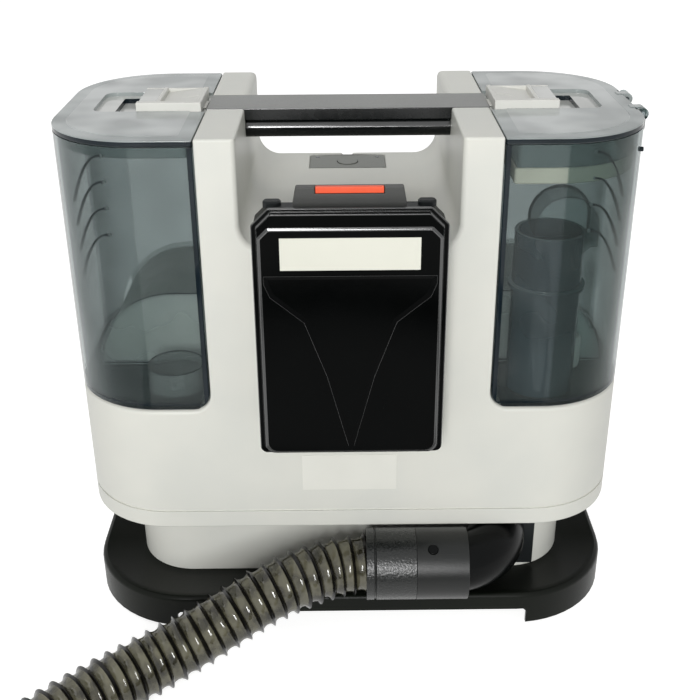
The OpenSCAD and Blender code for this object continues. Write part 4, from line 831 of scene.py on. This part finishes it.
def make_pack_cover():
    """The glossy cover, with the V sunk in its face."""
    cover = skin([pack_line(sides, top, low, y, r=r) for sides, top, low, y, r in COVER_STEPS])
    rim, floor = both_halves(V_RIM), both_halves(V_FLOOR)
    above = [(1.02 * x, z + (0.7 if z > 240 else -0.7)) for x, z in rim]
    hollow = skin([[(x, y, z) for x, z in line]
                   for y, line in ((-123.6, above), (-122.6, rim), (-121.5, floor))])

    def choose(middle, direction):
        # Its bevels, other than the brow and the V's walls, take the lighter and glossier black: painted
        # highlight lines
        if direction.y < -0.995 or middle.z < PACK_LOW + 3:
            return 0
        brow = -121.9 < middle.y < -119.4 and direction.z > 0.3
        in_v = abs(middle.x) < 45 and middle.z < 252 and middle.y > -122.3
        return 0 if brow or in_v else 1
    settle("pack_cover", soften(carve(cover, hollow), 0.5, 24, 3),
           ["abs_polished_black", "abs_black_painted_edge_highlight"], "battery_cover", choose, 50, ["battery_cover"])


def make_pack_key():
    """The key that frees the pack: a thin tapered plate with an orange stripe let into its top edge."""
    line = [(-30.2, 282), (30.2, 282), (30, 288), (28.6, 295.4), (28, 296), (-28, 296), (-28.6, 295.4),
            (-30, 288)]
    plate = skin([[(x, y, z) for x, z in line] for y in (-108, -102.4)])
    plate = carve(plate, block(-18.3, 18.3, -109, -104.9, 292.6, 297))
    settle("pack_key", soften(plate, 0.8, 30, 3), ["abs_grained_grey"], "battery_key",
           nodes=["battery_key"])
    stripe = soften(block(-18, 18, -108.1, -105, 292.8, 296.3), 0.4, 30, 3)
    settle("key_stripe", stripe, ["abs_satin_orange"], "key_strip", nodes=["key_strip"])


def make_pack_case():
    """The case behind the cover, with the key's opening and two small lugs on its top."""
    case = skin([pack_line(side_in, top_in, side_in, y) for side_in, top_in, y in
                 ((0.8, 7.3, PACK_BACK), (0, 6.6, -87.4), (0, 6.0, -113), (0, 0.6, -114.5),
                  (0, 0, SPLIT_Y))])
    opening = block(-30.6, 30.6, -108.5, -95.7, 274, 290)
    rail_slots = [block(-half, half, y0, y1, 130, 240.4)
                  for half, y0, y1 in ((38.4, -95.4, -90.6), (30.4, -92, -80))]
    case = carve(case, opening, *rail_slots)
    lugs = []
    for x in (-42, 42):
        lug = skin([at(z, round_plan(5 - inset, 3.4 - inset, 2.6 - inset, 5))
                    for z, inset in ((280.8, 0), (283.4, 0), (284.2, 0.8))])
        lug.transform(Matrix.Translation(Vector((x, -92, 0)) * MM))
        lugs.append(lug)
    settle("pack_case", joined(soften(case, 0.6, 30), *lugs), ["abs_grained_black"], "battery_case",
           nodes=["battery_case"])


# ---------------- base

# Half width, half depth and corner radius of the tray, and of the waist's foot, where its dish ends
TRAY_X, TRAY_Y, TRAY_R = 170, 104, 65
WAIST_X, WAIST_Y, WAIST_R = 142, 64.5, 37.5
RIM_IN = 3                  # the width of its rounded rim


def make_tray():
    """The base tray: its top falls from a rounded rim in a soft dish to the foot of the waist."""
    def ring(z, inset):
        return at(z, round_plan(TRAY_X - inset, TRAY_Y - inset, TRAY_R - inset, 14))
    rings = [ring(14, 3), ring(1.6, 3), ring(1.6, 0.6), ring(2.4, 0), ring(21.4, 0), ring(23, 0.5),
             ring(24, 1.5), ring(24.5, RIM_IN)]
    rim_x, rim_y, rim_r = TRAY_X - RIM_IN, TRAY_Y - RIM_IN, TRAY_R - RIM_IN
    dish_z, dish_deep = 17.0, 7.5
    for share in (0.12, 0.28, 0.5, 0.75, 1):
        plan = round_plan(rim_x + (WAIST_X - rim_x) * share, rim_y + (WAIST_Y - rim_y) * share,
                          rim_r + (WAIST_R - rim_r) * share, 14)
        rings.append(at(dish_z + dish_deep * (1 - share) ** 1.25, plan))
    tray = skin(rings)
    # The low arch under its front and back edges, which leaves it standing on its corners
    arch = ((-112, -2), (112, -2), (112, 11), (110, 13), (-110, 13), (-112, 11))
    for y in (-TRAY_Y, TRAY_Y):
        tray = carve(tray, skin([[(x, y + d, z) for x, z in arch] for d in (-30, 30)]))
    posts = [drum(x, y, 15, 4, 14.4, 32) for x in (-136, 136) for y in (-72, 72)]
    settle("tray", joined(soften(tray, 0.7, 40), *posts), ["abs_fine_black"], "base_tray",
           nodes=["base_tray"])


# ---------------- dressing the solids

def seam(middle):
    """The housing's two halves meet here, and the joint stays a hairline."""
    return abs(middle.y) < 0.2


def housing_edges(middle):
    """The housing's radii: broad under the windows, soft round the hand's channel, small elsewhere.
    They change little by little along the outline, so that neighbouring edges stay smooth."""
    x, y, z = abs(middle.x), middle.y, middle.z
    from_corner = math.hypot(max(x - CORNER_X, 0), max(abs(y) - CORNER_Y, 0))
    outline = x > HALF_WIDTH - 0.6 or abs(y) > HALF_DEPTH - 0.6 or from_corner > CORNER_R - 0.6
    # A window's lower corner beside the post, then the ledge under the window and round to the back
    if y < 0.6 - HALF_DEPTH and POST_SIDE - 1 < x < 95 and z < 162:
        return 3.0 - (z - LEDGE_Z) * 0.19
    if abs(z - LEDGE_Z) < 0.5 and x > 95 and outline:
        return max(1.0, 3.0 - max(y - CORNER_Y, 0) * 0.07)
    # The belt groove, and the wells of the rear screws
    if 77 < z < 80.4 or y > 70 and 85 < z < 125 and 105 < x < 150:
        return 0.2
    # The battery's recess, then the hand's channel behind the handle
    if abs(y + HALF_DEPTH) < 0.6 and (60 < x < 62 and z > 262 or x < 61 and 240 < z < 275):
        return 3.0
    if y > 18 and x < 63 and z > 315:
        return 4.0
    return 1.4 if z > 315 else 1.0


def hood_choice(middle, direction):
    """The hood's edges show as dark lines round its clear front and its open back."""
    low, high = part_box("deflector_hood")
    round_front = middle.y < low[1] / MM + 1 and -0.97 < direction.y < -0.1
    return 1 if round_front or middle.y > high[1] / MM - 1 else 0


def riser_choice(middle, direction):
    """The standpipe's upward faces, at its top and its flange, take a painted grey highlight."""
    return 1 if direction.z > 0.6 and middle.z > 160 else 0


def cover_choice(middle, direction):
    """The handle's cover: a matt top, its broken edges along it in the lighter and glossier black as a
    painted highlight, and dark sides.
    """
    if direction.z > 0.9:
        return 0
    return 2 if direction.z > 0.2 and abs(direction.y) > 0.2 else 1


def make_grip():
    """The grip under the handle's cover: flat sides that run into a full round below."""
    low, high = [Vector(corner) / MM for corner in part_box("handle_grip")]
    half, top, bottom = high.y, high.z, low.z
    shoulder = [(3.6, 0), (2.6, 0.5), (1.7, 1.2), (1.0, 2.1), (0.45, 3.1), (0.1, 4.2)]
    belly_r = 7
    middle_z = bottom + 6.5
    line = ([(half - inset, top - drop) for inset, drop in shoulder]
            + arc(half - belly_r, middle_z, belly_r, 0, -90, 10)
            + arc(belly_r - half, middle_z, belly_r, -90, -180, 10)
            + [(inset - half, top - drop) for inset, drop in reversed(shoulder)])
    bar = skin([[(x, y, max(z, bottom)) for y, z in line] for x in (low.x, high.x)])

    def choose(middle, direction):
        # Its upturned shoulder faces take the lighter and glossier black: a painted highlight along the
        # grip
        return 1 if direction.z > 0.2 and middle.z < 308.1 else 0
    settle("grip", bar, ["abs_stoned_black", "abs_black_painted_edge_highlight"], "handle_grip", choose,
           nodes=["handle_grip"])


# Solids that need only their edges broken: the piece, its node, its finish and the radius in mm
EASED = (
    ("feet", "rubber_feet", "rubber_moulded", 1.0),
    ("waist", "waist_shell", "abs_satin_grey", 0.8),
    ("deck_panel", "control_panel", "abs_satin_mid", 0.4),
    ("start_button", "power_button", "abs_satin_mid", 0.3),
    ("vent", "exhaust_grille", "abs_satin_mid", 0.2),
    ("dock", "battery_dock", "abs_grained_black", 0.6),
    ("pack_label", "battery_label", "film_coated_ivory", 0.1),
    ("port_cover", "port_panel", "abs_grained_black", 0.25),
    ("elbow", "hose_elbow", "abs_smooth_black", 0.6),
    ("connector", "hose_connector", "abs_etched_black", 0.25),
    ("connector_button", "release_button", "abs_smooth_black", 0.3),
    ("cuff", "hose_cuff", "abs_leather_black", 0.5),
    ("rating_film", "rating_label", "film_coated_white", 0.1))


def dress():
    """Each solid of the machine with its edges broken and its finish on."""
    for name, node, finish, radius in EASED:
        eased(name, node, [finish], radius)
    eased("grip_cover", "handle_cover", ["abs_matt_grey", "abs_stoned_black", "abs_black_painted_edge_highlight"], 0.45,
          choose=cover_choice)
    for name, node in (("front_shell", "housing_front"), ("rear_shell", "housing_rear")):
        eased(name, node, ["abs_satin_grey"], 1.0, wider=housing_edges, keep=seam)
    eased("riser", "standpipe", ["smoke_pc_pipe", "smoke_pc_pipe_painted_highlight"], 0.6, choose=riser_choice)
    eased("riser_hood", "deflector_hood", ["smoke_pc_hood", "smoke_pc_cut"], 0.4, choose=hood_choice)


# Solids that stay as they are, under their finish
KEPT = {
    "abs_satin_mid": ["bottom_plate"],
    "abs_satin_grey": ["tool_body"],
    "abs_grained_black": ["tool_cuff", "tool_trigger"],
    "rubber_moulded": ["tool_brush"],
    "acetal_white": ["valve_plunger", "tank_float"],
    "polypropylene_grey": ["motor_bracket", "fan_housing", "suction_duct", "recovery_duct", "water_pump",
                  "valve_socket"],
    "silicone_extruded": ["pump_inlet_tube", "pump_outlet_tube"],
    "smoke_pc_inner": ["valve_cap"],
    "smoke_pc_pipe": ["float_guide"],
    "acrylic_polished": ["panel_lamps"],
    "lacquer_green": ["control_board"],
    "pvc_shrunk": ["battery_cells"],
    "aluminium_cast": ["suction_motor", "impeller"],
    "steel_turned": ["housing_screws", "valve_spring", "hinge_pins"],
    "brass_plated": ["dock_contacts"]}


def finish_kept():
    """The solids that stay as they are get their real finish."""
    for finish, nodes in KEPT.items():
        for node in nodes:
            for place in frame["nodes"][node].material_slots:
                place.material = KIT[finish]


# ---------------- studio

def seen(tree):
    """1 where a ray shows a thing to the eye, straight, in gloss or through a clear wall, and 0 where
    it only lights other things."""
    rays = add(tree, "ShaderNodeLightPath").outputs
    shown = rays["Is Camera Ray"]
    for ray in ("Is Glossy Ray", "Is Transmission Ray"):
        shown = add(tree, "ShaderNodeMath", {0: shown, 1: rays[ray]}, operation="MAXIMUM").outputs[0]
    return shown


def make_floor():
    """A plain pale floor without an edge in sight, as paper: it looks white and keeps a soft shadow."""
    half, below = 4, -0.0002
    work = bmesh.new()
    for x, y in ((-half, -half), (half, -half), (half, half), (-half, half)):
        work.verts.new((x, y, below))
    work.faces.new(list(work.verts))
    mesh = from_bmesh(work)
    mesh.name = "floor"
    paper, tree, _ = blank("floor_paper")
    lift = add(tree, "ShaderNodeMath", {0: seen(tree), 1: 0.8}, operation="MULTIPLY")
    surface = add(tree, "ShaderNodeBsdfPrincipled", {
        "Base Color": linear("#D2D2D0"), "Roughness": 0.9, "Specular IOR Level": 0.1,
        "Emission Color": (1, 1, 1, 1), "Emission Strength": lift.outputs[0]})
    add(tree, "ShaderNodeOutputMaterial", {"Surface": surface.outputs["BSDF"]})
    mesh.materials.append(paper)
    placed("floor", mesh)


def light_studio():
    """A white room round the machine, and three soft lamps: name, place, size in metres and watts."""
    world = bpy.data.worlds.new("studio")
    bpy.context.scene.world = world
    world.use_nodes = True
    tree = world.node_tree
    tree.nodes.clear()
    level = add(tree, "ShaderNodeMapRange", {"Value": seen(tree), "To Min": 0.44, "To Max": 1.0})
    sky = add(tree, "ShaderNodeBackground", {"Color": (1, 1, 1, 1), "Strength": level.outputs["Result"]})
    add(tree, "ShaderNodeOutputWorld", {"Surface": sky.outputs["Background"]})
    target = Vector((0, 0, 0.15))
    for name, spot, size, power in (("key", (-0.3, -2.0, 1.0), 0.4, 14),
                                    ("fill", (-0.12, -2.0, 0.55), 0.5, 14),
                                    ("top", (0.0, 0.5, 2.0), 1.2, 4.5)):
        lamp = bpy.data.lights.new(name, "AREA")
        lamp.size = size
        lamp.energy = power
        seat = placed(name, lamp)
        seat.location = spot
        seat.rotation_euler = (target - Vector(spot)).to_track_quat("-Z", "Y").to_euler()
    bpy.context.scene.view_settings.view_transform = "Standard"


aim_camera()
KIT = make_finishes()
make_hose()
make_tanks()
make_lids()
make_latches()
make_pack_cover()
make_pack_case()
make_pack_key()
make_grip()
make_tray()
dress()
finish_kept()
make_floor()
light_studio()
